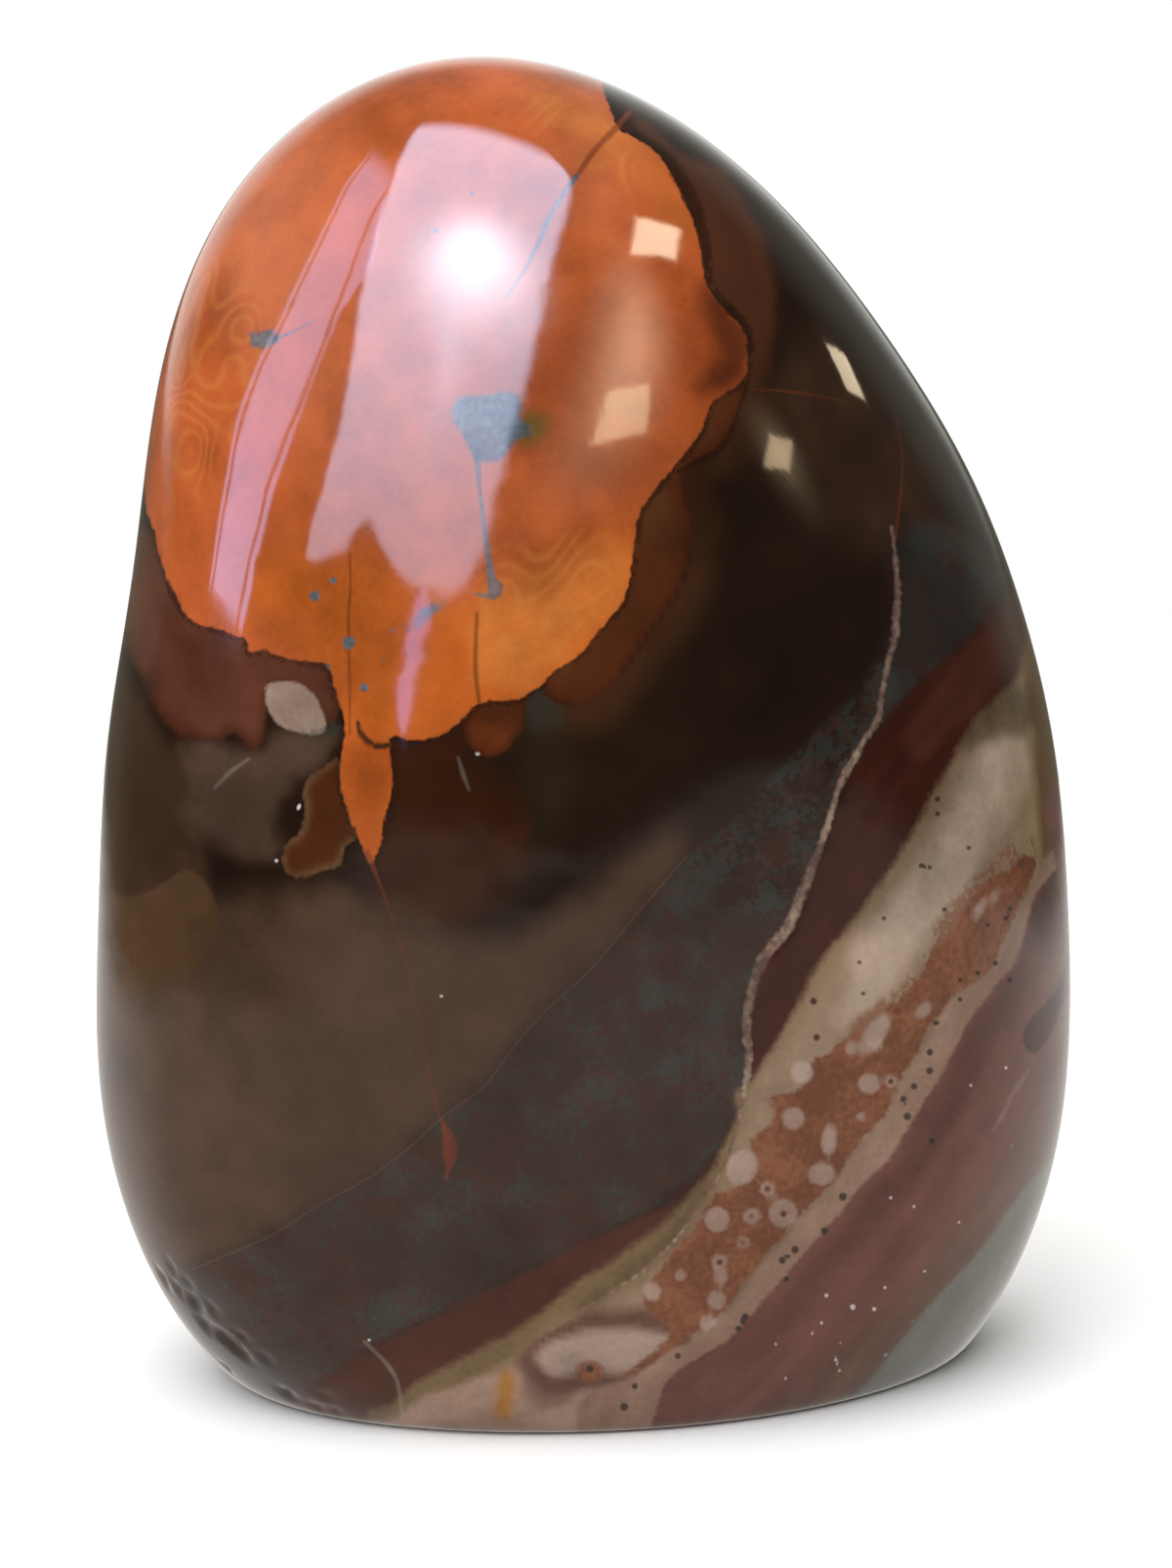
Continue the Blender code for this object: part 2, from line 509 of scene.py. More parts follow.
FLUFF = Patch(
    (
        (200, 760), (262, 770), (300, 750), (335, 748), (345, 760), (320, 785), (300, 800),
        (285, 840), (280, 880), (200, 850), (190, 790),
    ),
    1.0,
)
GREEN_CORNER = Patch(((303, 748), (330, 742), (345, 736), (355, 745), (345, 756), (320, 760)), 1.0)
GREEN_PEAK = Patch(
    ((540, 708), (556, 702), (566, 712), (580, 726), (590, 800), (560, 860), (535, 800), (536, 750)),
    1.0,
)
PEAK_TIP = Patch(((544, 704), (556, 700), (566, 712), (574, 735), (556, 748), (541, 730)), 1.0)
LOBE_PATCH = Patch(
    (
        (350, 775), (350, 800), (358, 832), (366, 855), (352, 868), (348, 885), (325, 893),
        (300, 898), (289, 884), (290, 866), (310, 850), (314, 825), (312, 805), (328, 788),
    ),
    1.0,
)
UNDER_CAP = Patch(
    (
        (395, 760), (440, 755), (475, 742), (482, 770), (505, 790), (540, 840), (520, 910),
        (470, 950), (400, 940), (380, 890), (392, 842), (401, 805),
    ),
    1.0,
)
BROWN_RIGHT = Patch(
    (
        (640, 110), (702, 154), (738, 172), (759, 199), (781, 235), (792, 272), (795, 321),
        (792, 378), (780, 400), (763, 402), (720, 350), (700, 250), (670, 170),
    ),
    shrink=0.4,
)
RIGHT_SHOULDER = Patch(
    ((800, 360), (880, 380), (940, 460), (955, 560), (910, 610), (860, 540), (810, 460)),
    shrink=0.4,
)
DARK_FRINGE = Patch(
    (
        (618, 105), (644, 124), (684, 152), (708, 187), (722, 223), (730, 256), (734, 290),
        (748, 311), (766, 329), (773, 356), (764, 364), (758, 340), (744, 322), (730, 304),
        (720, 282), (716, 256), (706, 223), (692, 192), (672, 160), (648, 142), (630, 133),
    ),
)
OLIVE_FLAP = Patch(
    (
        (40, 915), (100, 912), (135, 918), (165, 905), (190, 890), (212, 905), (222, 935),
        (218, 962), (205, 985), (186, 1000), (160, 1010), (130, 1016), (97, 1017), (40, 1017),
    ),
    shrink=0.7,
)
STREAKY_LEFT = Patch(
    ((60, 700), (125, 690), (175, 760), (215, 800), (205, 880), (215, 920), (140, 935), (60, 900)),
    shrink=0.5,
)

# The lower left and the middle
TAUPE_AREA = Patch(
    (
        (-50, 960), (150, 925), (330, 912), (400, 928), (450, 955), (520, 965), (585, 925),
        (645, 880), (710, 855), (650, 950), (604, 993), (556, 1037), (523, 1075),
        (496, 1112), (455, 1142), (421, 1173), (377, 1206), (327, 1233), (279, 1264),
        (201, 1298), (100, 1340), (-50, 1400),
    ),
)
TEAL_ZONE = Patch(
    (
        (60, 1390), (201, 1298), (279, 1264), (327, 1233), (377, 1206), (421, 1173),
        (455, 1142), (496, 1112), (523, 1075), (556, 1037), (604, 993), (650, 950),
        (700, 880), (780, 800), (880, 700), (915, 620), (900, 560), (960, 530), (1020, 590),
        (990, 660), (905, 742), (870, 800), (800, 965), (770, 1040), (757, 1140),
        (700, 1215), (620, 1262), (500, 1320), (400, 1370), (310, 1430), (200, 1500),
        (60, 1500),
    ),
)
TEAL_TOP = Patch(
    ((720, 700), (900, 560), (915, 640), (880, 760), (860, 850), (810, 930), (755, 925), (700, 860)),
)
GREEN_PATCH = Patch(
    (
        (925, 545), (960, 545), (1000, 580), (1020, 605), (985, 650), (950, 685), (920, 715),
        (897, 740), (890, 725), (905, 690), (916, 650), (920, 600),
    ),
    shrink=0.5,
)

# The bands, each one everything to the lower right of its upper edge
FAR_RIGHT = ((1400, 500), (1400, 1800))
MAROON_BAND = Patch(
    (
        (1130, 540), (1060, 585), (1030, 612), (1005, 640), (985, 662), (950, 690), (925, 715),
        (903, 742), (885, 772), (870, 800), (855, 840), (838, 885), (815, 935), (790, 975),
        (772, 1015), (768, 1050), (768, 1085), (757, 1140), (731, 1182), (707, 1208),
        (675, 1238), (633, 1257), (600, 1271), (560, 1293), (500, 1320), (450, 1345),
        (400, 1368), (350, 1398), (310, 1430), (250, 1500), (240, 1800), *FAR_RIGHT[::-1],
    ),
)
MAROON_LOW = Patch(
    ((300, 1460), (420, 1350), (560, 1270), (660, 1228), (700, 1235), (620, 1300), (420, 1450)),
    shrink=0.3,
)
MAROON_TOP = Patch(
    ((930, 770), (960, 700), (1010, 650), (1060, 610), (1060, 660), (1010, 710), (960, 770)),
    shrink=0.3,
)
TAN_STRIP = Patch(
    (
        (757, 1140), (745, 1165), (728, 1196), (700, 1230), (665, 1262), (630, 1290),
        (600, 1307), (560, 1338), (520, 1366), (470, 1393), (430, 1413), (400, 1440),
        (370, 1480), (380, 1800), *FAR_RIGHT[::-1], (1000, 1000), (775, 1100),
    ),
)
CREAM_BAND = Patch(
    (
        (1130, 590), (1075, 620), (1052, 650), (1043, 690), (1020, 716), (995, 740),
        (982, 762), (972, 785), (958, 808), (945, 832), (918, 880), (890, 922), (868, 950),
        (845, 980), (825, 1012), (808, 1045), (785, 1082), (770, 1105), (757, 1145),
        (743, 1186), (724, 1225), (698, 1261), (668, 1293), (633, 1319), (600, 1339),
        (560, 1364), (500, 1402), (440, 1428), (405, 1450), (380, 1490), (380, 1800),
        *FAR_RIGHT[::-1],
    ),
)
CREAM_CORE = Patch(
    (
        (1010, 745), (985, 800), (962, 850), (938, 890), (905, 928), (884, 965), (866, 1010),
        (858, 1045), (880, 1048), (908, 1022), (938, 985), (972, 935), (1005, 885), (1030, 845),
        (1042, 790), (1040, 745),
    ),
)
CREAM_EDGE_GREY = Patch(((1000, 730), (1042, 700), (1060, 740), (1020, 760), (985, 768)), 0.5)
CREAM_RIGHT = Patch(
    ((1048, 680), (1130, 640), (1130, 1000), (1050, 960), (1045, 890), (1035, 860), (1020, 800)),
)
PINK_PATCH = Patch(
    (
        (600, 1361), (620, 1358), (649, 1358), (688, 1368), (672, 1387), (640, 1406),
        (600, 1402), (565, 1408), (548, 1395), (565, 1375),
    ),
    1.0,
)
MATRIX_AREA = Patch(
    (
        (1045, 876), (1034, 890), (1012, 901), (992, 920), (979, 945), (965, 962), (955, 977),
        (946, 992), (938, 1002), (926, 1020), (908, 1031), (913, 1049), (903, 1056),
        (903, 1072), (889, 1073), (881, 1057), (861, 1065), (848, 1078), (831, 1083),
        (828, 1098), (820, 1112), (808, 1117), (786, 1127), (792, 1140), (779, 1156),
        (767, 1169), (776, 1195), (756, 1215), (734, 1221), (725, 1233), (711, 1257),
        (686, 1280), (672, 1303), (658, 1329), (678, 1354), (694, 1368), (717, 1365),
        (732, 1352), (747, 1339), (763, 1313), (782, 1287), (802, 1267), (815, 1248),
        (839, 1228), (861, 1202), (870, 1182), (886, 1163), (903, 1147), (916, 1124),
        (926, 1098), (942, 1075), (955, 1049), (975, 1020), (1000, 1005), (1020, 985),
        (1035, 945), (1052, 905), (1060, 880),
    ),
    0.35,
)
MATRIX_LACE = Patch(
    (
        (1060, 860), (1034, 868), (1005, 890), (975, 925), (950, 965), (925, 1005), (895, 1030),
        (870, 1050), (880, 1062), (920, 1045), (965, 990), (1010, 930), (1050, 900),
    ),
    0.5,
)
MATRIX_EDGE = Patch(((688, 1368), (700, 1372), (672, 1395), (645, 1410), (638, 1406), (668, 1388)), 1.0)
BEIGE_BAND = Patch(
    (
        (1130, 820), (1075, 870), (1058, 905), (1040, 945), (1022, 985), (1002, 1008),
        (978, 1022), (958, 1050), (944, 1077), (928, 1100), (918, 1126), (905, 1149),
        (888, 1165), (872, 1184), (862, 1204), (841, 1230), (817, 1250), (803, 1269),
        (784, 1289), (765, 1315), (748, 1341), (730, 1357), (712, 1372), (690, 1380),
        (665, 1400), (640, 1412), (600, 1430), (590, 1480), (600, 1800), *FAR_RIGHT[::-1],
    ),
)
MAUVE_BAND = Patch(
    (
        (1130, 860), (1090, 880), (1062, 915), (1048, 955), (1036, 988), (1014, 1015),
        (995, 1040), (978, 1072), (961, 1104), (939, 1140), (913, 1182), (887, 1208),
        (861, 1238), (838, 1267), (815, 1293), (792, 1319), (763, 1352), (740, 1375),
        (720, 1386), (698, 1401), (680, 1420), (668, 1456), (660, 1500), (660, 1800),
        *FAR_RIGHT[::-1],
    ),
)
MAUVE_DARK_TOP = Patch(
    ((1048, 950), (1060, 905), (1085, 880), (1110, 890), (1100, 960), (1080, 975), (1058, 975)),
    0.5,
)
PALE_MAUVE = Patch(
    ((1070, 950), (1092, 935), (1105, 980), (1090, 1002), (1068, 1010), (1040, 1020), (1050, 990)),
    0.5,
)
TAN_BAND = Patch(
    (
        (1180, 1040), (1110, 1115), (1079, 1156), (1056, 1182), (1036, 1208), (1010, 1241),
        (991, 1270), (958, 1310), (926, 1342), (900, 1364), (861, 1404), (828, 1440),
        (780, 1500), (780, 1800), *FAR_RIGHT[::-1],
    ),
)
GREY_CORNER = Patch(
    (
        (1180, 1080), (1112, 1150), (1069, 1195), (1050, 1215), (1027, 1248), (1004, 1279),
        (971, 1315), (939, 1350), (893, 1409), (870, 1437), (830, 1500), (830, 1800),
        *FAR_RIGHT[::-1],
    ),
)
GOLD_STREAK = Patch(
    ((1055, 640), (1075, 690), (1085, 780), (1092, 860), (1078, 905), (1064, 870), (1062, 780),
     (1048, 690)),
    0.3,
)
WEDGE = Patch(
    (
        (1096, 962), (1100, 1000), (1088, 1030), (1078, 1056), (1062, 1078), (1050, 1072),
        (1048, 1056), (1058, 1040), (1076, 1022), (1088, 995),
    ),
    0.6,
)
# The chip's facet on the right edge: the mauve band's colour running on, partly a painted highlight
# along the facet
FACET_MAUVE_AND_HIGHLIGHT = Patch(((1070, 812), (1079, 870), (1086, 920), (1096, 968), (1130, 980), (1130, 800)), 0.3)
FOOT_STRIP = Patch(
    (
        (370, 1470), (400, 1440), (430, 1424), (480, 1412), (530, 1400), (560, 1372),
        (600, 1395), (650, 1425), (690, 1450), (690, 1560), (370, 1560),
    ),
    1.0,
)
OCHRE_SPOT = Patch(((512, 1408), (524, 1402), (528, 1425), (516, 1452), (508, 1440)), 1.0)
BROWN_BLOTCH = Patch(((540, 1405), (565, 1400), (586, 1412), (580, 1436), (555, 1440), (535, 1425)), 1.0)
FLAME = Patch(
    ((449, 1148), (462, 1150), (474, 1160), (470, 1185), (466, 1202), (454, 1196), (450, 1172)), 1.0
)


@dataclass(frozen=True)
class Layer:
    """One stain laid over what is under it, inside a patch or along its edge.

    Attributes:
        patches: the outlines it fills.
        stain: its colour.
        start: where it begins, in mm inside the outline (below 0 is outside).
        stop: where it ends, in mm inside the outline, or None for all of it.
        soft: half the width of its edge, in mm.
        wander: how far its edge strays from the outline, in mm.
        strength: how much it covers.
        above: it shows only where this channel of the mottle is over this value.
    """

    patches: tuple[Patch, ...]
    stain: "Stain | Bed"
    start: float = 0.0
    stop: float | None = None
    soft: float = 0.12
    wander: float = 0.25
    strength: float = 1.0
    above: tuple[int, float] | None = None


@dataclass(frozen=True)
class Bed:
    """Ground with soft colours that run into each other, mixed on the mesh's vertices.

    Attributes:
        name: what it is.
        base: the stain that lies under the others.
        washes: the stains laid over it, in order.
    """

    name: str
    base: Stain
    washes: tuple[Layer, ...]


BODY = Bed(
    "body",
    DARK,
    (
        Layer((RIGHT_SHOULDER,), EARTH, soft=3.0, wander=0.6, strength=0.8),
        Layer((CAP_RIM,), RED_HALO, soft=2.0, wander=1.5, strength=0.95),
        Layer((CAP_RIM,), DARK_LINE, start=-2.5, stop=0.0, soft=1.0, wander=1.5, strength=0.6),
        Layer((BROWN_RIGHT,), BAY_BROWN, soft=0.6, wander=0.3),
        Layer((BROWN_RIGHT,), DARK_LINE, start=-0.5, stop=0.3, soft=0.5, strength=0.5),
        Layer((STREAKY_LEFT,), EARTH, soft=1.2, wander=0.6, strength=0.9),
        Layer((HALO_RIGHT,), BROWN, start=-2.2, soft=1.6, wander=0.3, strength=0.7),
        Layer((UNDER_CAP,), HALO, soft=1.8, wander=0.8, strength=0.75),
        Layer((FLUFF,), GREY_BROWN, soft=1.1, wander=0.7, strength=0.8),
        Layer((GREEN_PEAK,), OLIVE, soft=1.3, wander=0.4, strength=0.35),
        Layer((PEAK_TIP,), TEAL, soft=0.8, wander=0.3, strength=0.4),
        Layer((TAUPE_AREA,), TAUPE, soft=2.0, wander=0.5, strength=0.95),
        Layer((TEAL_ZONE,), TEAL_GROUND, soft=0.8, wander=0.3),
        Layer((TEAL_TOP,), DARK, soft=2.2, wander=0.6, strength=0.9),
        Layer((GREEN_PATCH,), TEAL, soft=0.5, wander=0.3, strength=0.4),
    ),
)
CAP_BODY = Bed(
    "cap_body",
    ORANGE,
    (
        Layer((CAP_TOP,), TOP_ORANGE, soft=3.0, wander=1.0, strength=0.7),
        Layer((CAP_LOW,), BRIGHT_ORANGE, soft=3.0, wander=1.0, strength=0.9),
        Layer((CAP_YELLOW_TOP, CAP_YELLOW_LOW), YELLOW, soft=1.5, wander=1.0, strength=0.35),
        Layer((CAP_RED_MIDDLE,), RED_ORANGE, soft=2.4, wander=1.0, strength=0.3),
        Layer((CAP_RED_SIDE,), RED_ORANGE, soft=2.0, wander=0.8, strength=0.5),
        Layer((CAP_DEEP_LOBE,), RED_HALO, soft=1.2, wander=0.6, strength=0.95),
        Layer((GREEN_FLECK,), GREEN_SPECK, soft=0.7, wander=0.3, strength=0.7),
        Layer((CAP_SMUDGE, CAP_RED_TAIL), RED_ORANGE, soft=0.8, wander=0.4, strength=0.5),
    ),
)
HALO_BODY = Bed(
    "halo_body",
    RED_HALO,
    (
        Layer((HALO_RIGHT, BAY), HALO_BROWN, start=1.5, soft=0.9, wander=0.4),
        Layer((HALO_LOW, BAY), LOBE_BROWN, soft=1.5, wander=0.4, strength=0.9),
        Layer((BAY_RED,), RED_ORANGE, soft=0.4, wander=0.2, strength=0.2),
        Layer((HALO_RIGHT, BAY), DARK_LINE, start=-1.0, stop=0.35, soft=0.45, strength=0.75),
    ),
)
LEFT_BODY = Bed(
    "left_body",
    RED_BROWN,
    (
        Layer((HALO_LEFT,), HALO, start=-1.0, stop=0.7, soft=0.7, wander=0.3, strength=0.7),
        Layer((HALO_LEFT,), LOBE_BROWN, start=3.2, soft=1.4, wander=0.8, strength=0.5),
    ),
)
LOBE_BODY = Bed(
    "lobe_body",
    LOBE_BROWN,
    (Layer((LOBE_PATCH,), TAN, start=-1.0, stop=0.2, soft=0.45, strength=0.5),),
)
BAND_BODY = Bed(
    "band_body",
    CREAM,
    (
        Layer((CREAM_BAND,), TAN, start=-1.5, stop=1.0, soft=0.9, wander=0.3, strength=0.6),
        Layer((CREAM_RIGHT,), YELLOW_CREAM, soft=1.4, wander=0.5),
        Layer((CREAM_CORE,), CREAM_LIGHT, soft=1.3, wander=0.5, strength=0.8),
        Layer((CREAM_EDGE_GREY,), OLIVE_TAN, soft=0.8, wander=0.3, strength=0.7),
        Layer((GOLD_STREAK,), GOLD, soft=0.6, wander=0.3),
        Layer((FOOT_STRIP,), FOOT_BEIGE, soft=0.6, wander=0.4),
        Layer((OCHRE_SPOT,), OCHRE, soft=0.45, wander=0.25, strength=0.9),
        Layer((BROWN_BLOTCH,), DARK_MAUVE, soft=0.6, wander=0.4, strength=0.45),
        Layer((PINK_PATCH,), DARK_MAUVE, start=-1.5, stop=0.1, soft=0.6, wander=0.4, strength=0.8),
        Layer((PINK_PATCH,), PINK_WHITE, start=0.1, soft=0.5, wander=0.3),
    ),
)
MAUVE_BODY = Bed(
    "mauve_body",
    MAUVE,
    (
        Layer((MAUVE_BAND,), DARK_MAUVE, start=0.4, stop=2.6, soft=0.9, wander=0.8, strength=0.3),
        Layer((MAUVE_DARK_TOP,), DARK_MAUVE, soft=0.9, wander=0.4),
        Layer((PALE_MAUVE,), BEIGE, soft=0.9, wander=0.3, strength=0.15),
        Layer((TAN_BAND,), OLIVE_TAN, start=-1.6, stop=0.2, soft=0.8, strength=0.35),
    ),
)
MAROON_BODY = Bed(
    "maroon_body", MAROON,
    (Layer((MAROON_LOW, MAROON_TOP), RED_BROWN, soft=1.0, wander=0.6, strength=0.5),),
)
BEDS = (BODY, CAP_BODY, HALO_BODY, LEFT_BODY, LOBE_BODY, MAROON_BODY, BAND_BODY, MAUVE_BODY)

LAYERS = (
    Layer((HALO_LEFT,), LEFT_BODY, soft=0.3),
    Layer((HALO_RIGHT, BAY), HALO_BODY, soft=0.2),
    Layer((LOBE_PATCH,), LOBE_BODY, soft=0.22, wander=0.3),
    Layer((POCKET_PATCH,), POCKET_GREY, soft=0.2, wander=0.2, strength=0.85),
    Layer((OLIVE_FLAP,), FLAP_BROWN, soft=0.25, wander=0.2),
    Layer((TEAL_ZONE, GREEN_CORNER), TEAL, start=0.2, soft=0.4, strength=0.42, above=(0, 0.52)),
    Layer((TEAL_ZONE, FLAME), RED_SPECK, start=0.2, soft=0.4, strength=0.5, above=(2, 0.54)),
    Layer((MAROON_BAND,), MAROON_BODY, soft=0.4, wander=0.3),
    Layer((TAN_STRIP,), TAN, soft=0.5, wander=0.25),
    Layer((CREAM_BAND,), BAND_BODY, soft=0.5, wander=0.25),
    Layer((MATRIX_LACE,), MATRIX, soft=0.5, wander=0.5, strength=0.7, above=(1, 0.49)),
    Layer((MATRIX_AREA, MATRIX_EDGE), MATRIX, soft=0.26, wander=0.4, strength=0.95),
    Layer((BEIGE_BAND,), BEIGE, soft=0.3, wander=0.2),
    Layer((MAUVE_BAND,), MAUVE_BODY, soft=0.25, wander=0.22),
    Layer((TAN_BAND,), TAN_LINE, soft=0.22, wander=0.18),
    Layer((GREY_CORNER,), GREY_GREEN, soft=0.25, wander=0.15),
    Layer((WEDGE,), WEDGE_MAROON, soft=0.18, wander=0.15),
    # Mauve over the chip's facet, partly a painted highlight of that facet
    Layer((FACET_MAUVE_AND_HIGHLIGHT,), MAUVE, soft=0.12, wander=0.05),
    Layer((DARK_FRINGE,), DARK_LINE, start=0.1, soft=0.3, wander=0.3, strength=0.75),
    Layer(
        (CAP,), DARK_LINE, start=-0.5, stop=0.1, soft=0.22, wander=0.22, strength=0.55,
        above=(1, 0.48),
    ),
    Layer((CAP,), CAP_BODY, soft=0.13, wander=0.22),
    Layer((CAP_CRESCENT,), BROWN, soft=0.15, wander=0.12),
    Layer((BLUE_BLOB, BLUE_SLIP, BLUE_DASH), BLUE_GREY, soft=0.28, wander=0.35, strength=0.85),
)
MARKS = tuple(dict.fromkeys(layer.patches for layer in LAYERS))


@dataclass(frozen=True)
class Seam:
    """A thin line in the stone: photo points along it, and its width in mm at each of them."""

    path: tuple[Point, ...]
    widths: tuple[float, ...]


@dataclass(frozen=True)
class SeamFamily:
    """Seams of one colour.

    Attributes:
        name: what they are.
        stain: their colour.
        seams: the lines.
        soft: half the width of their edges, in mm.
        rough: how uneven their edges are, in mm.
        strength: how much they cover.
        through: whether they come out again on the far side.
    """

    name: str
    stain: Stain
    seams: tuple[Seam, ...]
    soft: float = 0.1
    rough: float = 0.0
    strength: float = 0.8
    through: bool = False


SEAMS = (
    SeamFamily(
        "iron_seams", IRON_RED,
        (
            Seam(((378, 878), (387, 900), (398, 930), (410, 965), (420, 1000), (428, 1040),
                  (434, 1073), (440, 1105), (449, 1140), (456, 1160)),
                 (0.5, 0.2, 0.1, 0.08, 0.12, 0.05, 0.08, 0.1, 0.1, 0.3)),
            Seam(((454, 1150), (460, 1170), (461, 1186), (458, 1200)), (0.3, 1.3, 1.1, 0.2)),
            Seam(((775, 399), (800, 400), (830, 404), (862, 410)), (0.0, 0.12, 0.15, 0.0)),
            Seam(((640, 120), (628, 134), (612, 150), (600, 166), (588, 184)),
                 (0.4, 0.6, 0.5, 0.5, 0.3)),
            Seam(((919, 430), (924, 476), (921, 517), (916, 550)), (0.0, 0.1, 0.15, 0.3)),
        ),
        soft=0.16, strength=0.7,
    ),
    SeamFamily(
        "dark_seams", DARK_LINE,
        (
            Seam(((358, 572), (359, 600), (357, 625), (357, 657)), (0.15, 0.2, 0.2, 0.2)),
            Seam(((357, 660), (358, 700), (358, 745)), (0.2, 0.15, 0.15)),
            Seam(((488, 634), (487, 660), (487, 690), (490, 714)), (0.3, 0.4, 0.4, 0.3)),
            Seam(((765, 395), (742, 455), (715, 472), (700, 480)), (0.2, 0.5, 0.6, 0.4)),
        ),
        soft=0.16, strength=0.55,
    ),
    SeamFamily(
        "blue_seams", BLUE_GREY,
        (
            Seam(((489, 470), (491, 500), (496, 540), (500, 570), (504, 600)),
                 (0.6, 0.35, 0.45, 0.55, 0.9)),
            Seam(((504, 596), (511, 602), (505, 610), (492, 609)), (0.7, 0.9, 0.7, 0.2)),
            Seam(((586, 186), (572, 206), (560, 228), (550, 252), (538, 275), (523, 298)),
                 (0.5, 0.4, 0.5, 0.4, 0.3, 0.2)),
            Seam(((286, 345), (300, 340), (318, 330)), (0.3, 0.2, 0.1)),
        ),
        soft=0.12, strength=0.75,
    ),
    SeamFamily(
        "pale_seams", PALE_SEAM,
        (
            Seam(((201, 1298), (279, 1264), (327, 1233), (377, 1206), (421, 1173), (455, 1142),
                  (496, 1112), (523, 1075), (556, 1037), (604, 993), (650, 938), (700, 880)),
                 (-0.1,) * 12),
            Seam(((378, 1378), (395, 1395), (406, 1412), (410, 1432), (412, 1450)),
                 (0.2, 0.3, 0.3, 0.3, 0.2)),
            Seam(((225, 801), (236, 790), (250, 780)), (0.25, 0.35, 0.15)),
            Seam(((471, 782), (474, 792), (478, 803)), (0.15, 0.35, 0.15)),
            Seam(((1050, 1100), (1044, 1110), (1036, 1121)), (0.15, 0.35, 0.15)),
            Seam(((1031, 1133), (1026, 1143), (1019, 1153)), (0.15, 0.35, 0.15)),
        ),
        soft=0.2, strength=0.32, through=True,
    ),
)
QUARTZ_VEIN = SeamFamily(
    "quartz_vein", QUARTZ,
    (
        Seam(((914, 545), (917, 570), (919, 600), (918, 625), (917, 650), (909, 680), (903, 710),
              (899, 735), (885, 758), (874, 778), (862, 800), (853, 825), (846, 850), (835, 878),
              (825, 905), (816, 928), (806, 950), (792, 968), (780, 984), (772, 1005),
              (766, 1030), (765, 1060), (767, 1085), (762, 1115), (757, 1145), (744, 1186),
              (725, 1225), (698, 1261), (668, 1293), (633, 1319), (600, 1339), (560, 1364)),
             (0.2, 0.3, 0.45, 0.55, 0.5, 0.4, 0.4, 0.5, 0.5, 0.6, 0.5, 0.4, 0.5, 0.6, 0.8, 0.9, 1.0,
              0.9, 0.9, 0.8, 0.7, 0.7, 0.7, 0.4, 0.25, 0.2, 0.15, 0.1, 0.1, 0.1, 0.05, 0.05)),
    ),
    soft=0.18, rough=0.5, strength=0.85, through=True,
)


@dataclass(frozen=True)
class Spot:
    """A round or long marking.

    Attributes:
        x: its middle in photo points, to the right.
        y: its middle in photo points, down.
        radius: half its width, in mm.
        stretch: its length as a share of its width.
        tilt: how far its length leans up from the horizontal, in degrees.
    """

    x: float
    y: float
    radius: float
    stretch: float = 1.0
    tilt: float = 0.0


@dataclass(frozen=True)
class SpotFamily:
    """Spots of one colour.

    Attributes:
        name: what they are.
        stain: their colour.
        spots: the spots drawn one by one.
        soft: half the width of their edges, as a share of the radius.
        strength: how much they cover.
    """

    name: str
    stain: Stain
    spots: tuple[Spot, ...]
    soft: float = 0.25
    strength: float = 0.9


ORBS = SpotFamily(
    "orbs", PINK_WHITE,
    (
        Spot(895, 1060, 0.85, 2.4, 55.0), Spot(821, 1098, 1.0), Spot(890, 1109, 0.95),
        Spot(912, 1107, 0.6), Spot(812, 1145, 1.0), Spot(849, 1167, 0.65, 2.2, 85.0),
        Spot(841, 1202, 1.0, 1.3, 10.0), Spot(882, 1143, 0.45), Spot(760, 1195, 1.3, 1.2, 60.0),
        Spot(786, 1217, 0.65), Spot(802, 1242, 1.25), Spot(769, 1245, 0.7),
        Spot(734, 1248, 1.1), Spot(761, 1272, 0.6), Spot(737, 1292, 0.75),
        Spot(738, 1306, 0.6, 1.3, 90.0), Spot(734, 1331, 0.85), Spot(725, 1355, 0.8),
        Spot(668, 1322, 0.8), Spot(872, 1073, 0.6), Spot(697, 1305, 0.55),
        Spot(1003, 930, 0.4, 2.5, 60.0), Spot(1018, 918, 0.35, 2.2, 65.0),
        Spot(945, 1035, 0.5, 1.6, 50.0),
    ),
    soft=0.22, strength=0.7,
)
RINGS = SpotFamily(
    "rings", MATRIX,
    (
        Spot(786, 1217, 0.34), Spot(802, 1242, 0.32), Spot(769, 1245, 0.25), Spot(761, 1272, 0.26),
        Spot(737, 1292, 0.3), Spot(912, 1107, 0.28), Spot(833, 1025, 0.3), Spot(836, 1062, 0.3),
        Spot(604, 1404, 0.9, 1.3, 0.0),
    ),
    soft=0.45, strength=0.7,
)
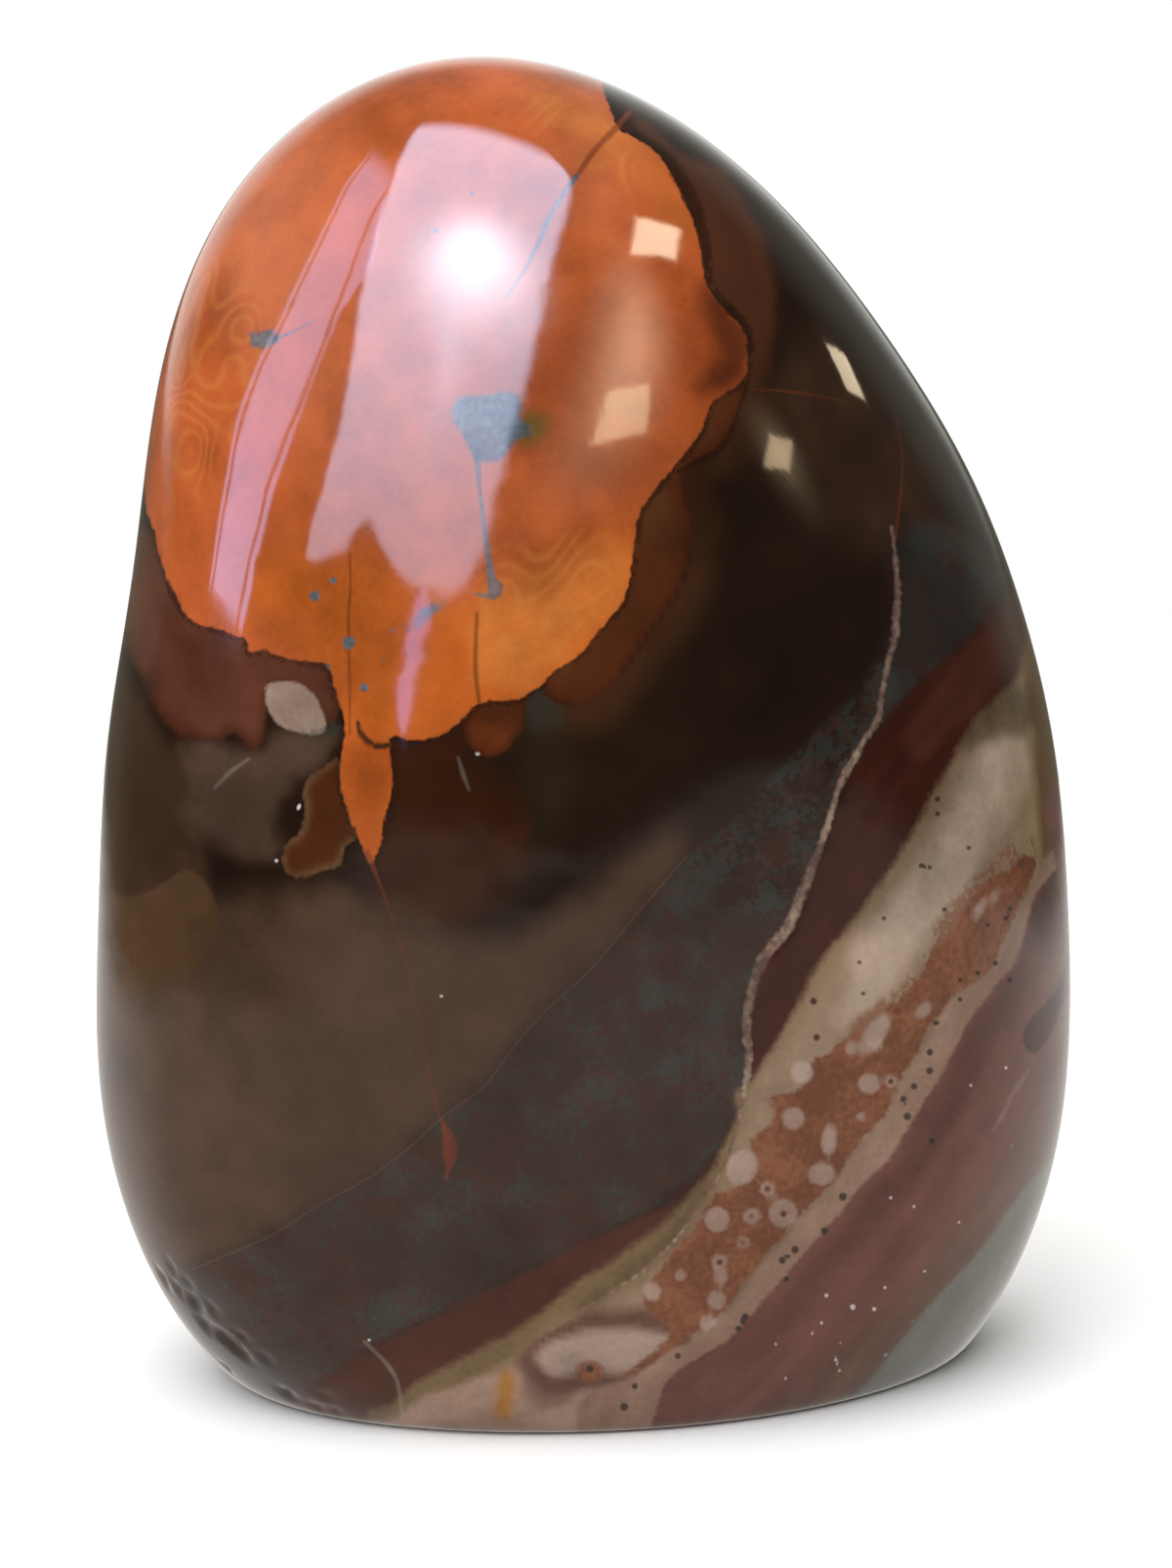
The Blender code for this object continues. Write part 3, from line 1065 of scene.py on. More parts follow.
PORES = SpotFamily(
    "pores", PORE,
    (
        Spot(952, 1077, 0.28), Spot(952, 1096, 0.3), Spot(936, 1112, 0.28), Spot(925, 1125, 0.26),
        Spot(929, 1143, 0.32), Spot(954, 1168, 0.26), Spot(959, 1047, 0.2), Spot(983, 1023, 0.2),
        Spot(1034, 1003, 0.22), Spot(863, 1225, 0.34), Spot(844, 1260, 0.3), Spot(814, 1279, 0.32),
        Spot(801, 1290, 0.3), Spot(805, 1309, 0.24), Spot(763, 1348, 0.3), Spot(756, 1360, 0.24),
        Spot(694, 1388, 0.26), Spot(650, 1419, 0.26), Spot(639, 1440, 0.34), Spot(604, 1401, 0.3),
        Spot(833, 1025, 0.22), Spot(836, 1062, 0.22), Spot(884, 1017, 0.18), Spot(912, 1107, 0.18),
        Spot(802, 1243, 0.2), Spot(769, 1245, 0.15), Spot(786, 1217, 0.14), Spot(737, 1292, 0.2),
        Spot(960, 818, 0.24), Spot(960, 833, 0.22), Spot(992, 868, 0.2), Spot(943, 886, 0.2),
        Spot(952, 888, 0.18), Spot(967, 931, 0.2), Spot(1045, 885, 0.2), Spot(1034, 930, 0.22),
        Spot(1030, 940, 0.2), Spot(1011, 947, 0.18), Spot(1019, 986, 0.2), Spot(1001, 996, 0.2),
        Spot(983, 1003, 0.18), Spot(958, 1047, 0.2), Spot(905, 940, 0.18), Spot(880, 985, 0.18),
    ),
    soft=0.4, strength=0.85,
)
BLUE_DOTS = SpotFamily(
    "blue_dots", BLUE_GREY,
    (
        Spot(322, 610, 0.45), Spot(341, 594, 0.28), Spot(357, 658, 0.55), Spot(373, 704, 0.35),
        Spot(392, 676, 0.16), Spot(483, 197, 0.22), Spot(446, 236, 0.24), Spot(445, 267, 0.2),
        Spot(407, 272, 0.16), Spot(560, 512, 0.14), Spot(585, 545, 0.12), Spot(300, 560, 0.12),
        Spot(336, 682, 0.2),
    ),
    soft=0.35, strength=0.9,
)
DUST_SPECKS = SpotFamily(
    "dust", DUST,
    (
        Spot(1030, 1093, 0.12), Spot(994, 1111, 0.11), Spot(989, 1155, 0.09),
        Spot(1036, 1173, 0.11), Spot(912, 1226, 0.12), Spot(936, 1235, 0.12),
        Spot(982, 1251, 0.11), Spot(947, 1301, 0.13), Spot(906, 1318, 0.12),
        Spot(873, 1338, 0.22), Spot(846, 1326, 0.16), Spot(895, 1340, 0.16), Spot(841, 1354, 0.12),
        Spot(832, 1365, 0.11), Spot(860, 1375, 0.11), Spot(794, 1376, 0.13), Spot(856, 1392, 0.14),
        Spot(859, 1403, 0.14), Spot(805, 1411, 0.14), Spot(934, 1353, 0.14), Spot(907, 1387, 0.17),
        Spot(489, 771, 0.19), Spot(306, 826, 0.14, 1.8, 70.0), Spot(283, 881, 0.14),
        Spot(389, 619, 0.12), Spot(370, 400, 0.09), Spot(452, 1020, 0.14), Spot(378, 1372, 0.13),
    ),
    soft=0.6, strength=0.75,
)
SPOTS = (RINGS, PORES, BLUE_DOTS, DUST_SPECKS)


@dataclass(frozen=True)
class Pit:
    """A natural pit left in the polish: its middle in photo points, its radius and depth in mm."""

    x: float
    y: float
    radius: float
    depth: float


PITS = (
    Pit(152, 1292, 1.0, 0.25), Pit(166, 1306, 1.3, 0.35), Pit(175, 1296, 0.8, 0.2),
    Pit(184, 1324, 1.1, 0.35), Pit(199, 1334, 1.4, 0.4), Pit(192, 1312, 0.9, 0.25),
    Pit(207, 1352, 1.2, 0.35), Pit(223, 1362, 1.0, 0.4), Pit(218, 1342, 0.9, 0.25),
    Pit(238, 1378, 1.4, 0.45), Pit(252, 1390, 1.1, 0.35), Pit(246, 1368, 0.9, 0.3),
    Pit(264, 1402, 1.2, 0.4), Pit(278, 1411, 1.0, 0.3), Pit(270, 1389, 0.9, 0.25),
    Pit(292, 1424, 1.3, 0.4), Pit(306, 1430, 0.9, 0.3), Pit(299, 1409, 1.0, 0.25),
    Pit(324, 1440, 1.1, 0.3), Pit(342, 1445, 0.9, 0.25), Pit(332, 1427, 0.8, 0.2),
    Pit(360, 1451, 0.9, 0.2), Pit(231, 1398, 1.0, 0.3), Pit(204, 1374, 0.9, 0.3),
)

# Seeds that tell the random fields from each other
BEND_SEEDS = (11, 51)
EDGE_SEED = 13
MOTTLE_SEEDS = (21, 24, 27)
CLOUD_SEED = 31
STREAK_SEED = 34
FOLD_SEED = 41

# A turn that keeps the fields' grid off the stone's own directions, and a shift between octaves
OFF_GRID = np.array([[0.8, 0.36, -0.48], [-0.6, 0.48, -0.64], [0.0, 0.8, 0.6]])
OCTAVE_SHIFT = 7.3

# How far past its end a seam is gone, and how far it is still whole, in mm
SEAM_END = (0.8, 0.4)

# Keeps a length out of a division by zero
TINY = 1e-9


class Lattice:
    """A smooth random field through space, for colours mixed on the mesh's vertices."""

    def __init__(self, seed: int, size: int = 24) -> None:
        """Fills the lattice, the same each time for the same seed."""
        self.values = np.random.default_rng(seed).random((size, size, size))

    def at(self, points: np.ndarray, cell: float) -> np.ndarray:
        """Reads the field.

        Args:
            points: places in millimetres, one a row.
            cell: the size of its clouds, in millimetres.

        Returns:
            A value from -0.5 to 0.5 for each place.
        """
        scaled = points / cell
        corner = np.floor(scaled).astype(int)
        share = scaled - corner
        share = share * share * (3.0 - 2.0 * share)
        size = len(self.values)
        total = np.zeros(len(points))
        for step in np.ndindex(2, 2, 2):
            x, y, z = ((corner + step) % size).T
            weight = np.prod(np.where(step, share, 1.0 - share), axis=1)
            total += weight * self.values[x, y, z]
        return total - 0.5


def rise(values: np.ndarray, low: float, high: float) -> np.ndarray:
    """Rises smoothly from 0 to 1 as values go from low to high."""
    share = np.clip((values - low) / (high - low), 0.0, 1.0)
    return share * share * (3.0 - 2.0 * share)


def store(data: bpy.types.Mesh, name: str, values: np.ndarray) -> None:
    """Keeps vectors on a mesh's vertices.

    Args:
        data: the mesh.
        name: the attribute's name.
        values: one row of three for each vertex.
    """
    attribute = data.attributes.new(name, "FLOAT_VECTOR", "POINT")
    attribute.data.foreach_set("vector", values.ravel().astype(np.float32))


@dataclass
class Drawing:
    """The markings laid on the stone, as distances in millimetres at each of its vertices.

    Seen from the camera's place a marking lies as it is drawn. Behind the stone's widest
    line the markings run on through the stone, slanting and straying with depth.

    Attributes:
        view: the place that the markings are drawn from.
        form: the stone's shape.
        points: the places to draw on, in millimetres.
        slant: how far the markings shift for each mm of depth, right and down.
        stray: how far they wander on the far side, in mm.
        stray_depth: the depth at which they wander that far, in mm.
        bend: the size of the bends in that wandering, in mm.
        ease: the depth over which the shift sets in, in mm.
        lean_back: how far back the widest line runs, per mm of height.
        margin: how far out a patch's distance is measured, in mm.
        back_start: the depth at which the patches of the back begin, in mm.
        far_side: the depth at which a seam that runs through shows again, in mm.
        unmarked: the distance kept where no seam or spot is near, in mm.
        groove: how deep the polish sank in along the quartz vein, in mm.
        near: the depth up to which a place can be the middle of a pit, in mm.
    """

    view: PhotoView
    form: StoneForm
    points: np.ndarray
    slant: Point = (-0.22, 0.12)
    stray: float = 5.2
    stray_depth: float = 25.0
    bend: float = 14.0
    ease: float = 6.0
    lean_back: float = 0.057
    margin: float = 7.0
    back_start: float = 3.0
    far_side: float = 8.0
    unmarked: float = 9.0
    groove: float = 0.04
    near: float = 0.5

    def __post_init__(self) -> None:
        """Works out each place's depth and where its markings are drawn."""
        x, y, z = self.points.T
        middle = self.form.turn_at(z) * x + self.lean_back * (z - self.form.centre_height)
        depth = np.maximum(y - middle, 0.0)
        self.behind = depth**2 / (depth + self.ease)
        swell = self.stray * np.minimum(self.behind / self.stray_depth, 1.0)
        slow = np.column_stack([self.noise(self.points, seed, self.bend) for seed in BEND_SEEDS])
        shift = np.outer(self.behind, self.slant) + swell[:, None] * slow
        self.flat = (self.view.project(self.points) + shift / self.view.point).astype(np.float32)
        self.uneven = self.noise(self.points, EDGE_SEED, PolishedJasper.mottle)
        self.distances: dict[Patch, np.ndarray] = {}

    @staticmethod
    def noise(points: np.ndarray, seed: int, size: float, octaves: int = 2) -> np.ndarray:
        """Makes a noise of clouds with finer clouds on them.

        Args:
            points: places in millimetres, one a row.
            seed: tells this noise from the others.
            size: the size of its clouds, in mm.
            octaves: how many times the clouds get half as large and half as strong.

        Returns:
            A value for each place, about 0 and mostly from -1 to 1.
        """
        turned = points @ OFF_GRID
        total = sum(
            Lattice(seed + octave).at(turned + OCTAVE_SHIFT * octave, size / 2**octave) / 2**octave
            for octave in range(octaves)
        )
        return total * 0.5 / total.std()

    @staticmethod
    def curve(corners: tuple[Point, ...], closed: bool, steps: int = 3) -> np.ndarray:
        """Runs a smooth curve through corners.

        Args:
            corners: the points in order, each with any further values that follow them.
            closed: whether the last joins the first.
            steps: how many points to make for each corner.

        Returns:
            The curve's points, one a row.
        """
        knots = np.array(corners, dtype=np.float32)
        if closed:
            before, after = np.roll(knots, 1, axis=0), np.roll(knots, -1, axis=0)
            beyond = np.roll(knots, -2, axis=0)
        else:
            padded = np.vstack([2 * knots[0] - knots[1], knots, 2 * knots[-1] - knots[-2]])
            before, knots, after, beyond = padded[:-3], padded[1:-2], padded[2:-1], padded[3:]
        pieces = [
            0.5 * (
                2 * knots + (after - before) * t
                + (2 * before - 5 * knots + 4 * after - beyond) * t**2
                + (3 * knots - before - 3 * after + beyond) * t**3
            )
            for t in np.arange(steps) / steps
        ]
        points = np.stack(pieces, axis=1).reshape(-1, knots.shape[1])
        return points if closed else np.vstack([points, after[-1]])

    def inside(self, patch: Patch) -> np.ndarray:
        """Measures how far inside a patch each place is.

        Args:
            patch: the patch.

        Returns:
            Distances in millimetres, below 0 outside the patch.
        """
        if patch in self.distances:
            return self.distances[patch]
        ring = self.curve(patch.outline, closed=True)
        reach = self.margin / self.view.point
        low, high = ring.min(axis=0) - reach, ring.max(axis=0) + reach
        near = np.flatnonzero(((self.flat > low) & (self.flat < high)).all(axis=1))
        x, y = self.flat[near].T
        nearest = np.full(len(near), np.inf, dtype=np.float32)
        within = np.zeros(len(near), dtype=bool)
        for start, end in zip(ring, np.roll(ring, -1, axis=0)):
            side = end - start
            right, down = x - start[0], y - start[1]
            share = np.clip((right * side[0] + down * side[1]) / max(side @ side, TINY), 0.0, 1.0)
            gap = (right - share * side[0]) ** 2 + (down - share * side[1]) ** 2
            np.minimum(nearest, gap, out=nearest)
            if side[1]:
                crosses = (start[1] > y) != (end[1] > y)
                within ^= crosses & (right < side[0] * down / side[1])
        distance = np.full(len(self.flat), -self.margin)
        distance[near] = np.sqrt(nearest) * self.view.point * np.where(within, 1.0, -1.0)
        distance -= patch.shrink * self.behind
        if patch.at_back:
            distance = np.minimum(distance, self.behind - self.back_start)
        self.distances[patch] = distance
        return distance

    def inside_any(self, patches: tuple[Patch, ...]) -> np.ndarray:
        """Returns how far inside the nearest of several patches each place is."""
        return np.max([self.inside(patch) for patch in patches], axis=0)

    def mixed(self, bed: Bed) -> np.ndarray:
        """Mixes a bed's soft colours.

        Args:
            bed: the bed.

        Returns:
            For each place its middle shade, linear.
        """
        mix = np.tile(linear(bed.base.middle)[:3], (len(self.flat), 1))
        for wash in bed.washes:
            distance = self.inside_any(wash.patches) + wash.wander * self.uneven
            cover = rise(distance, wash.start - wash.soft, wash.start + wash.soft)
            if wash.stop is not None:
                cover *= 1.0 - rise(distance, wash.stop - wash.soft, wash.stop + wash.soft)
            mix += (wash.strength * cover)[:, None] * (linear(wash.stain.middle)[:3] - mix)
        return mix

    def along_seams(self, family: SeamFamily) -> np.ndarray:
        """Measures where places lie beside the nearest seam.

        Args:
            family: the seams.

        Returns:
            For each place its signed distance to the side of the seam, its distance from it
            and half the seam's width there, in mm.
        """
        best = np.full((len(self.flat), 3), (self.unmarked, self.unmarked, 0.0))
        sunk = self.behind
        if family.through:
            sunk = np.minimum(sunk, np.maximum(self.far_side - self.behind, 0.0))
        for seam in family.seams:
            knots = tuple((*at, width) for at, width in zip(seam.path, seam.widths))
            path = self.curve(knots, closed=False)
            for start, end in zip(path[:-1], path[1:]):
                side = (end - start)[:2]
                length = max(float(np.hypot(*side)), TINY)
                offset = self.flat - start[:2]
                share = offset @ side / length**2
                held = np.clip(share, 0.0, 1.0)
                beside = (offset[:, 0] * side[1] - offset[:, 1] * side[0]) / length
                past = (share - held) * length
                away = np.hypot(beside, past) * self.view.point + sunk
                half = 0.5 * (start[2] + (end[2] - start[2]) * held)
                closer = away < best[:, 1]
                beside_mm = beside * self.view.point
                best[closer] = np.column_stack([beside_mm, away, half])[closer]
        return best

    def from_spots(self, family: SpotFamily) -> np.ndarray:
        """Measures places from the nearest spot.

        Args:
            family: the spots.

        Returns:
            For each place its offset from the spot's middle along and across it, where 1 is
            the spot's edge, and how far it is from the spot's edge in mm.
        """
        best = np.full((len(self.flat), 3), self.unmarked)
        for spot in family.spots:
            offset = (self.flat - (spot.x, spot.y)) * self.view.point
            turn = math.radians(spot.tilt)
            along = offset[:, 0] * math.cos(turn) - offset[:, 1] * math.sin(turn)
            across = offset[:, 0] * math.sin(turn) + offset[:, 1] * math.cos(turn)
            along = along / (spot.radius * spot.stretch)
            across = across / spot.radius
            past = (np.hypot(along, across) - 1.0) * spot.radius + self.behind
            closer = past < best[:, 2]
            best[closer] = np.column_stack([along, across, past])[closer]
        return best

    def inside_spots(self, family: SpotFamily) -> np.ndarray:
        """Returns how far inside the nearest spot each place is, in mm."""
        return -self.from_spots(family)[:, 2]

    def lay_on(self, data: bpy.types.Mesh) -> None:
        """Stores every marking on the stone's mesh."""
        for first in range(0, len(MARKS), 3):
            distances = np.zeros((len(self.flat), 3))
            for place, patches in enumerate(MARKS[first : first + 3]):
                distances[:, place] = self.inside_any(patches)
            store(data, f"marks_{first // 3}", distances)
        for bed in BEDS:
            store(data, bed.name, self.mixed(bed))
        for family in (*SEAMS, QUARTZ_VEIN):
            store(data, family.name, self.along_seams(family))
        for family in SPOTS:
            store(data, family.name, self.from_spots(family))
        store(data, "mottles", self.mottles())
        store(data, "variations", self.variations())
        swirls = np.minimum(self.inside_any((SWIRL_LEFT, SWIRL_LOW, SWIRL_TOP)), self.inside(CAP))
        folds = self.noise(self.points, FOLD_SEED, PolishedJasper.swirl)
        store(data, "swirls_orbs_folds", np.column_stack([swirls, self.inside_spots(ORBS), folds]))

    def mottles(self) -> np.ndarray:
        """Makes the stone's three unlike mottles."""
        return np.column_stack(
            [self.noise(self.points, seed, PolishedJasper.mottle) for seed in MOTTLE_SEEDS]
        )

    def variations(self) -> np.ndarray:
        """Makes the ways in which stains vary from place to place.

        The streaks keep their spacing across the mauve band and are drawn out along it.

        Returns:
            For each place its part of the cloudy, the streaky and the grainy variation.
        """
        mottles = self.mottles()
        clouds = self.noise(self.points, CLOUD_SEED, PolishedJasper.cloud)
        banded = self.points * (PolishedJasper.streak / PolishedJasper.streak_length)
        banded[:, 0] += self.inside(MAUVE_BAND)
        streaks = self.noise(banded, STREAK_SEED, PolishedJasper.streak)
        return np.column_stack([
            0.6 * clouds + 0.4 * mottles[:, 0],
            0.6 * streaks + 0.3 * mottles[:, 0],
            0.8 * mottles[:, 1],
        ])

    def pitted(self, normals: np.ndarray) -> np.ndarray:
        """Sinks the pits and the groove along the quartz vein into the stone.

        Args:
            normals: the outward direction at each place.

        Returns:
            The places in millimetres, pushed in where the pits and the groove are.
        """
        side, away, half = self.along_seams(QUARTZ_VEIN).T
        depth = self.groove * rise(half - np.abs(side), -0.3, 0.2) * rise(away - half, *SEAM_END)
        front = np.flatnonzero(self.behind < self.near)
        for pit in PITS:
            middle = front[np.argmin(np.hypot(*(self.flat[front] - (pit.x, pit.y)).T))]
            away = np.linalg.norm(self.points - self.points[middle], axis=1)
            ragged = away + 0.25 * pit.radius * self.uneven
            depth = np.maximum(depth, pit.depth * rise(ragged, pit.radius, 0.2 * pit.radius))
        return self.points - normals * depth[:, None]


class PolishedJasper(Shading):
    """Jasper, sawn, ground and polished wet: the material of the whole stone.

    Grinding with finer and finer grit and a last polish with oxide make the dense, fine-grained
    quartz as smooth as glass. The eye sees deep colours, as if wet, under sharp mirror images
    of the windows. The vein and the pores take less polish, and the ground base has none.

    Attributes:
        cloud: the size of the slow clouds in the stone, in mm.
        mottle: the size of its mottles, in mm.
        grain: the size of its grains. Real ones are under 0.1 mm, too fine to show here, so
            they are drawn as the 0.6 mm clumps that the eye sees.
        streak: the spacing of the streaks along the bands, in mm.
        streak_length: how long these streaks are, in mm.
        swirl: the size of the agate-like swirls in the cap, in mm.
        swirl_spacing: how close the lines of a swirl lie, as a share of its unevenness.
        ripple: how high the ripples are that polishing leaves in the mottles, in mm.
        refraction: quartz's index of refraction, from 1.54 to 1.55.
        polish: the roughness of the best polished stone.
        dulled_by_grains: how much rougher it gets between its grains.
        dulled_by_vein: how much rougher it is in the quartz vein.
        dulled_by_pores: how much rougher it is in the pores.
        dulled_by_grinding: how much rougher the ground base is.
        bed_shade: how dark the darkest places of a bed are, where its own colour is 1.
        bed_range: how much brighter its brightest places are.
    """

    cloud = 10.0
    mottle = 2.6
    grain = 0.6
    streak = 1.5
    streak_length = 18.75
    swirl = 7.0
    swirl_spacing = 0.17
    ripple = 0.004
    refraction = 1.54
    polish = 0.035
    dulled_by_grains = 0.045
    dulled_by_vein = 0.12
    dulled_by_pores = 0.3
    dulled_by_grinding = 0.5
    bed_shade = 0.65
    bed_range = 0.7

    def __init__(self) -> None:
        """Starts the material and makes the variations that its stains share."""
        self.material = bpy.data.materials.new("polished_jasper")
        self.material.use_nodes = True
        super().__init__(self.material.node_tree)
        self.shader = self.tree.nodes["Principled BSDF"]
        self.colours: dict[Stain | Bed, Socket] = {}
        self.vectors: dict[str, Socket] = {}
        self.parts: dict[str, list[Socket]] = {}
        place = self.node("TexCoord").outputs["Object"]
        self.place = self.scaled(place, 1.0 / MM)
        self.grains = self.noise_channels(self.place, self.grain)
        cloudy, streaky, grainy = self.split("variations")
        self.variations = {
            Variation.CLOUDY: self.blend(0.4, (cloudy, 0.25), (self.grains[1], 0.2)),
            Variation.STREAKY: self.blend(0.4, (streaky, 0.25), (self.grains[1], 0.2)),
            Variation.GRAINY: self.blend(0.1, (grainy, 0.25), (self.grains[0], 0.8)),
        }
        self.mottles = self.split("mottles")
        self.speckles = [
            self.blend(0.2, (mottle, 0.12), (grain, 0.6))
            for mottle, grain in zip(self.mottles, self.grains)
        ]
        self.uneven = self.blend(-1.0, (self.mottles[2], 0.5), (self.grains[2], 2.0))

    def scaled(self, vector: Socket, factor: Socket | float) -> Socket:
        """Makes a vector longer or a colour brighter by a factor."""
        return self.node(
            "VectorMath", {"operation": "SCALE"}, {0: vector, "Scale": factor}
        ).outputs[0]

    def noise_channels(self, place: Socket, size: float) -> list[Socket]:
        """Returns three unlike noises with features of a size in mm, each from 0 to 1."""
        noise = self.node(
            "TexNoise", None, {"Vector": place, "Scale": 1.0 / size, "Detail": 1.0}
        )
        return list(self.node("SeparateColor", inputs={0: noise.outputs["Color"]}).outputs)

    def vector(self, name: str) -> Socket:
        """Reads a vector that the mesh keeps."""
        if name not in self.vectors:
            self.vectors[name] = self.node("Attribute", {"attribute_name": name}).outputs["Vector"]
        return self.vectors[name]

    def split(self, name: str) -> list[Socket]:
        """Reads the three numbers of a vector that the mesh keeps."""
        if name not in self.parts:
            self.parts[name] = list(self.node("SeparateXYZ", inputs={0: self.vector(name)}).outputs)
        return self.parts[name]

    def inside(self, patches: tuple[Patch, ...]) -> Socket:
        """Reads how far inside a layer's patches each place is, in mm."""
        place = MARKS.index(patches)
        return self.split(f"marks_{place // 3}")[place % 3]

    def blend(self, base: float, *parts: tuple[Socket, float]) -> Socket:
        """Adds up noises, each with its weight, on a base value."""
        total: Socket | float = base
        for value, weight in parts:
            total = self.calc("MULTIPLY_ADD", value, weight, total)
        return total

    def times(self, *values: Socket) -> Socket:
        """Multiplies covers together."""
        product = values[0]
        for value in values[1:]:
            product = self.calc("MULTIPLY", product, value)
        return product

    def colour(self, stain: Stain | Bed) -> Socket:
        """Finds or makes the colour of a stain or a bed.

        Args:
            stain: the stain or the bed.

        Returns:
            Its colour at each place.
        """
        if stain in self.colours:
            return self.colours[stain]
        if isinstance(stain, Bed):
            shade = self.step(self.variations[stain.base.varies], 0.15, 0.85, self.bed_range)
            brightness = self.blend(self.bed_shade, (shade, 1.0))
            result = self.scaled(self.vector(stain.name), brightness)
        else:
            ramp = self.node("ValToRGB", inputs={0: self.variations[stain.varies]})
            stops = ramp.color_ramp.elements
            stops[0].position, stops[0].color = 0.25, linear(stain.dark)
            stops[1].position, stops[1].color = 0.75, linear(stain.light)
            stops.new(0.5).color = linear(stain.middle)
            result = ramp.outputs[0]
        self.colours[stain] = result
        return result

    def layer_cover(self, layer: Layer) -> Socket:
        """Works out where a layer covers what is under it.

        Args:
            layer: the layer.

        Returns:
            Its cover from 0 to 1.
        """
        inside = self.calc("MULTIPLY_ADD", self.uneven, layer.wander, self.inside(layer.patches))
        covers = [
            self.step(inside, layer.start - layer.soft, layer.start + layer.soft, layer.strength)
        ]
        if layer.stop is not None:
            covers.append(self.step(inside, layer.stop + layer.soft, layer.stop - layer.soft))
        if layer.above is not None:
            channel, level = layer.above
            covers.append(self.step(self.speckles[channel], level - 0.05, level + 0.05))
        return self.times(*covers)

    def seam_cover(self, family: SeamFamily) -> Socket:
        """Works out where a family of seams covers what is under it."""
        side, away, half = self.split(family.name)
        beside = self.calc("ABSOLUTE", side)
        edge = half
        if family.rough:
            ragged = self.blend(-0.5 * family.rough, (self.grains[1], family.rough))
            edge = self.calc("ADD", half, ragged)
        inside = self.calc("SUBTRACT", edge, beside)
        past = self.calc("SUBTRACT", away, half)
        return self.times(
            self.step(inside, -family.soft, family.soft, family.strength),
            self.step(past, *SEAM_END),
        )

    def spot_cover(self, family: SpotFamily) -> Socket:
        """Works out where a family of spots covers what is under it."""
        along, across, past = self.split(family.name)
        offset = self.node("CombineXYZ", inputs={0: along, 1: across}).outputs[0]
        away = self.node("VectorMath", {"operation": "LENGTH"}, {0: offset}).outputs["Value"]
        return self.times(
            self.step(away, 1.0 + family.soft, 1.0 - family.soft, family.strength),
            self.step(past, 0.28, 0.12),
        )

    def orb_cover(self) -> Socket:
        """Works out where the orbs cover the matrix that they lie in."""
        _, orbs, _ = self.split("swirls_orbs_folds")
        inside = self.calc("MULTIPLY_ADD", self.uneven, 0.12, orbs)
        return self.step(inside, -ORBS.soft, ORBS.soft, ORBS.strength)

    def swirl_cover(self) -> Socket:
        """Works out where the thin yellow lines of the agate-like swirls run."""
        swirls, _, folds = self.split("swirls_orbs_folds")
        spacing = self.swirl_spacing
        line = self.calc("PINGPONG", folds, spacing)
        return self.times(
            self.step(line, 0.3 * spacing, spacing, 0.3), self.step(swirls, -1.0, 2.5)
        )

    def build(self) -> bpy.types.Material:
        """Makes the material.

        Returns:
            The finished material.
        """
        colour = self.colour(BODY)
        for layer in LAYERS:
            colour = self.mix(colour, self.colour(layer.stain), self.layer_cover(layer))
            if layer.stain is CAP_BODY:
                colour = self.mix(colour, self.colour(YELLOW), self.swirl_cover())
            if layer.stain is MATRIX:
                colour = self.mix(colour, self.colour(ORBS.stain), self.orb_cover())
                colour = self.mix(colour, self.colour(RINGS.stain), self.spot_cover(RINGS))
        for family in SEAMS:
            colour = self.mix(colour, self.colour(family.stain), self.seam_cover(family))
        vein = self.seam_cover(QUARTZ_VEIN)
        colour = self.mix(colour, self.colour(QUARTZ_VEIN.stain), vein)
        pores = self.spot_cover(PORES)
        colour = self.mix(colour, self.colour(PORES.stain), pores)
        for family in (BLUE_DOTS, DUST_SPECKS):
            colour = self.mix(colour, self.colour(family.stain), self.spot_cover(family))
        self.tree.links.new(colour, self.shader.inputs["Base Color"])
        self.finish(vein, pores)
        return self.material

    def finish(self, vein: Socket, pores: Socket) -> None:
        """Gives the polish: glassy, duller in the vein and pores, and matt on the ground base.

        Args:
            vein: where the quartz vein is.
            pores: where the pores are.
        """
        height = self.node("SeparateXYZ", inputs={0: self.place}).outputs[2]
        ground = self.step(height, 0.30, 0.12)
        roughness = self.blend(
            self.polish,
            (self.grains[1], self.dulled_by_grains),
            (vein, self.dulled_by_vein),
            (pores, self.dulled_by_pores),
            (ground, self.dulled_by_grinding),
        )
        self.tree.links.new(roughness, self.shader.inputs["Roughness"])
        self.shader.inputs["IOR"].default_value = self.refraction
        bump = self.node(
            "Bump", None, {"Height": self.mottles[0], "Strength": 1.0, "Distance": self.ripple * MM}
        )
        self.tree.links.new(bump.outputs[0], self.shader.inputs["Normal"])


class Face(Enum):
    """What the face of a studio light looks like where the polish mirrors it."""

    PLAIN = "even, with sharp edges"
    SOFT = "even, with soft edges"
    ROUND = "brightest in the middle"
    DIAMOND = "a diamond with soft edges"


@dataclass(frozen=True)
class WindowFace:
    """A window's outline on its light, as curves, with the light's face 1 wide and 1 high.

    Attributes:
        left: height and place of points down the left edge.
        right: height and place of points down the right edge.
        sill: place and height of points along the sill.
        bars: how far the glazing bars stand from the left edge.
        low: how bright it is at the sill, where the top is 1.
    """

    left: tuple[Point, ...]
    right: tuple[Point, ...]
    sill: tuple[Point, ...]
    bars: tuple[float, ...] = ()
    low: float = 1.0


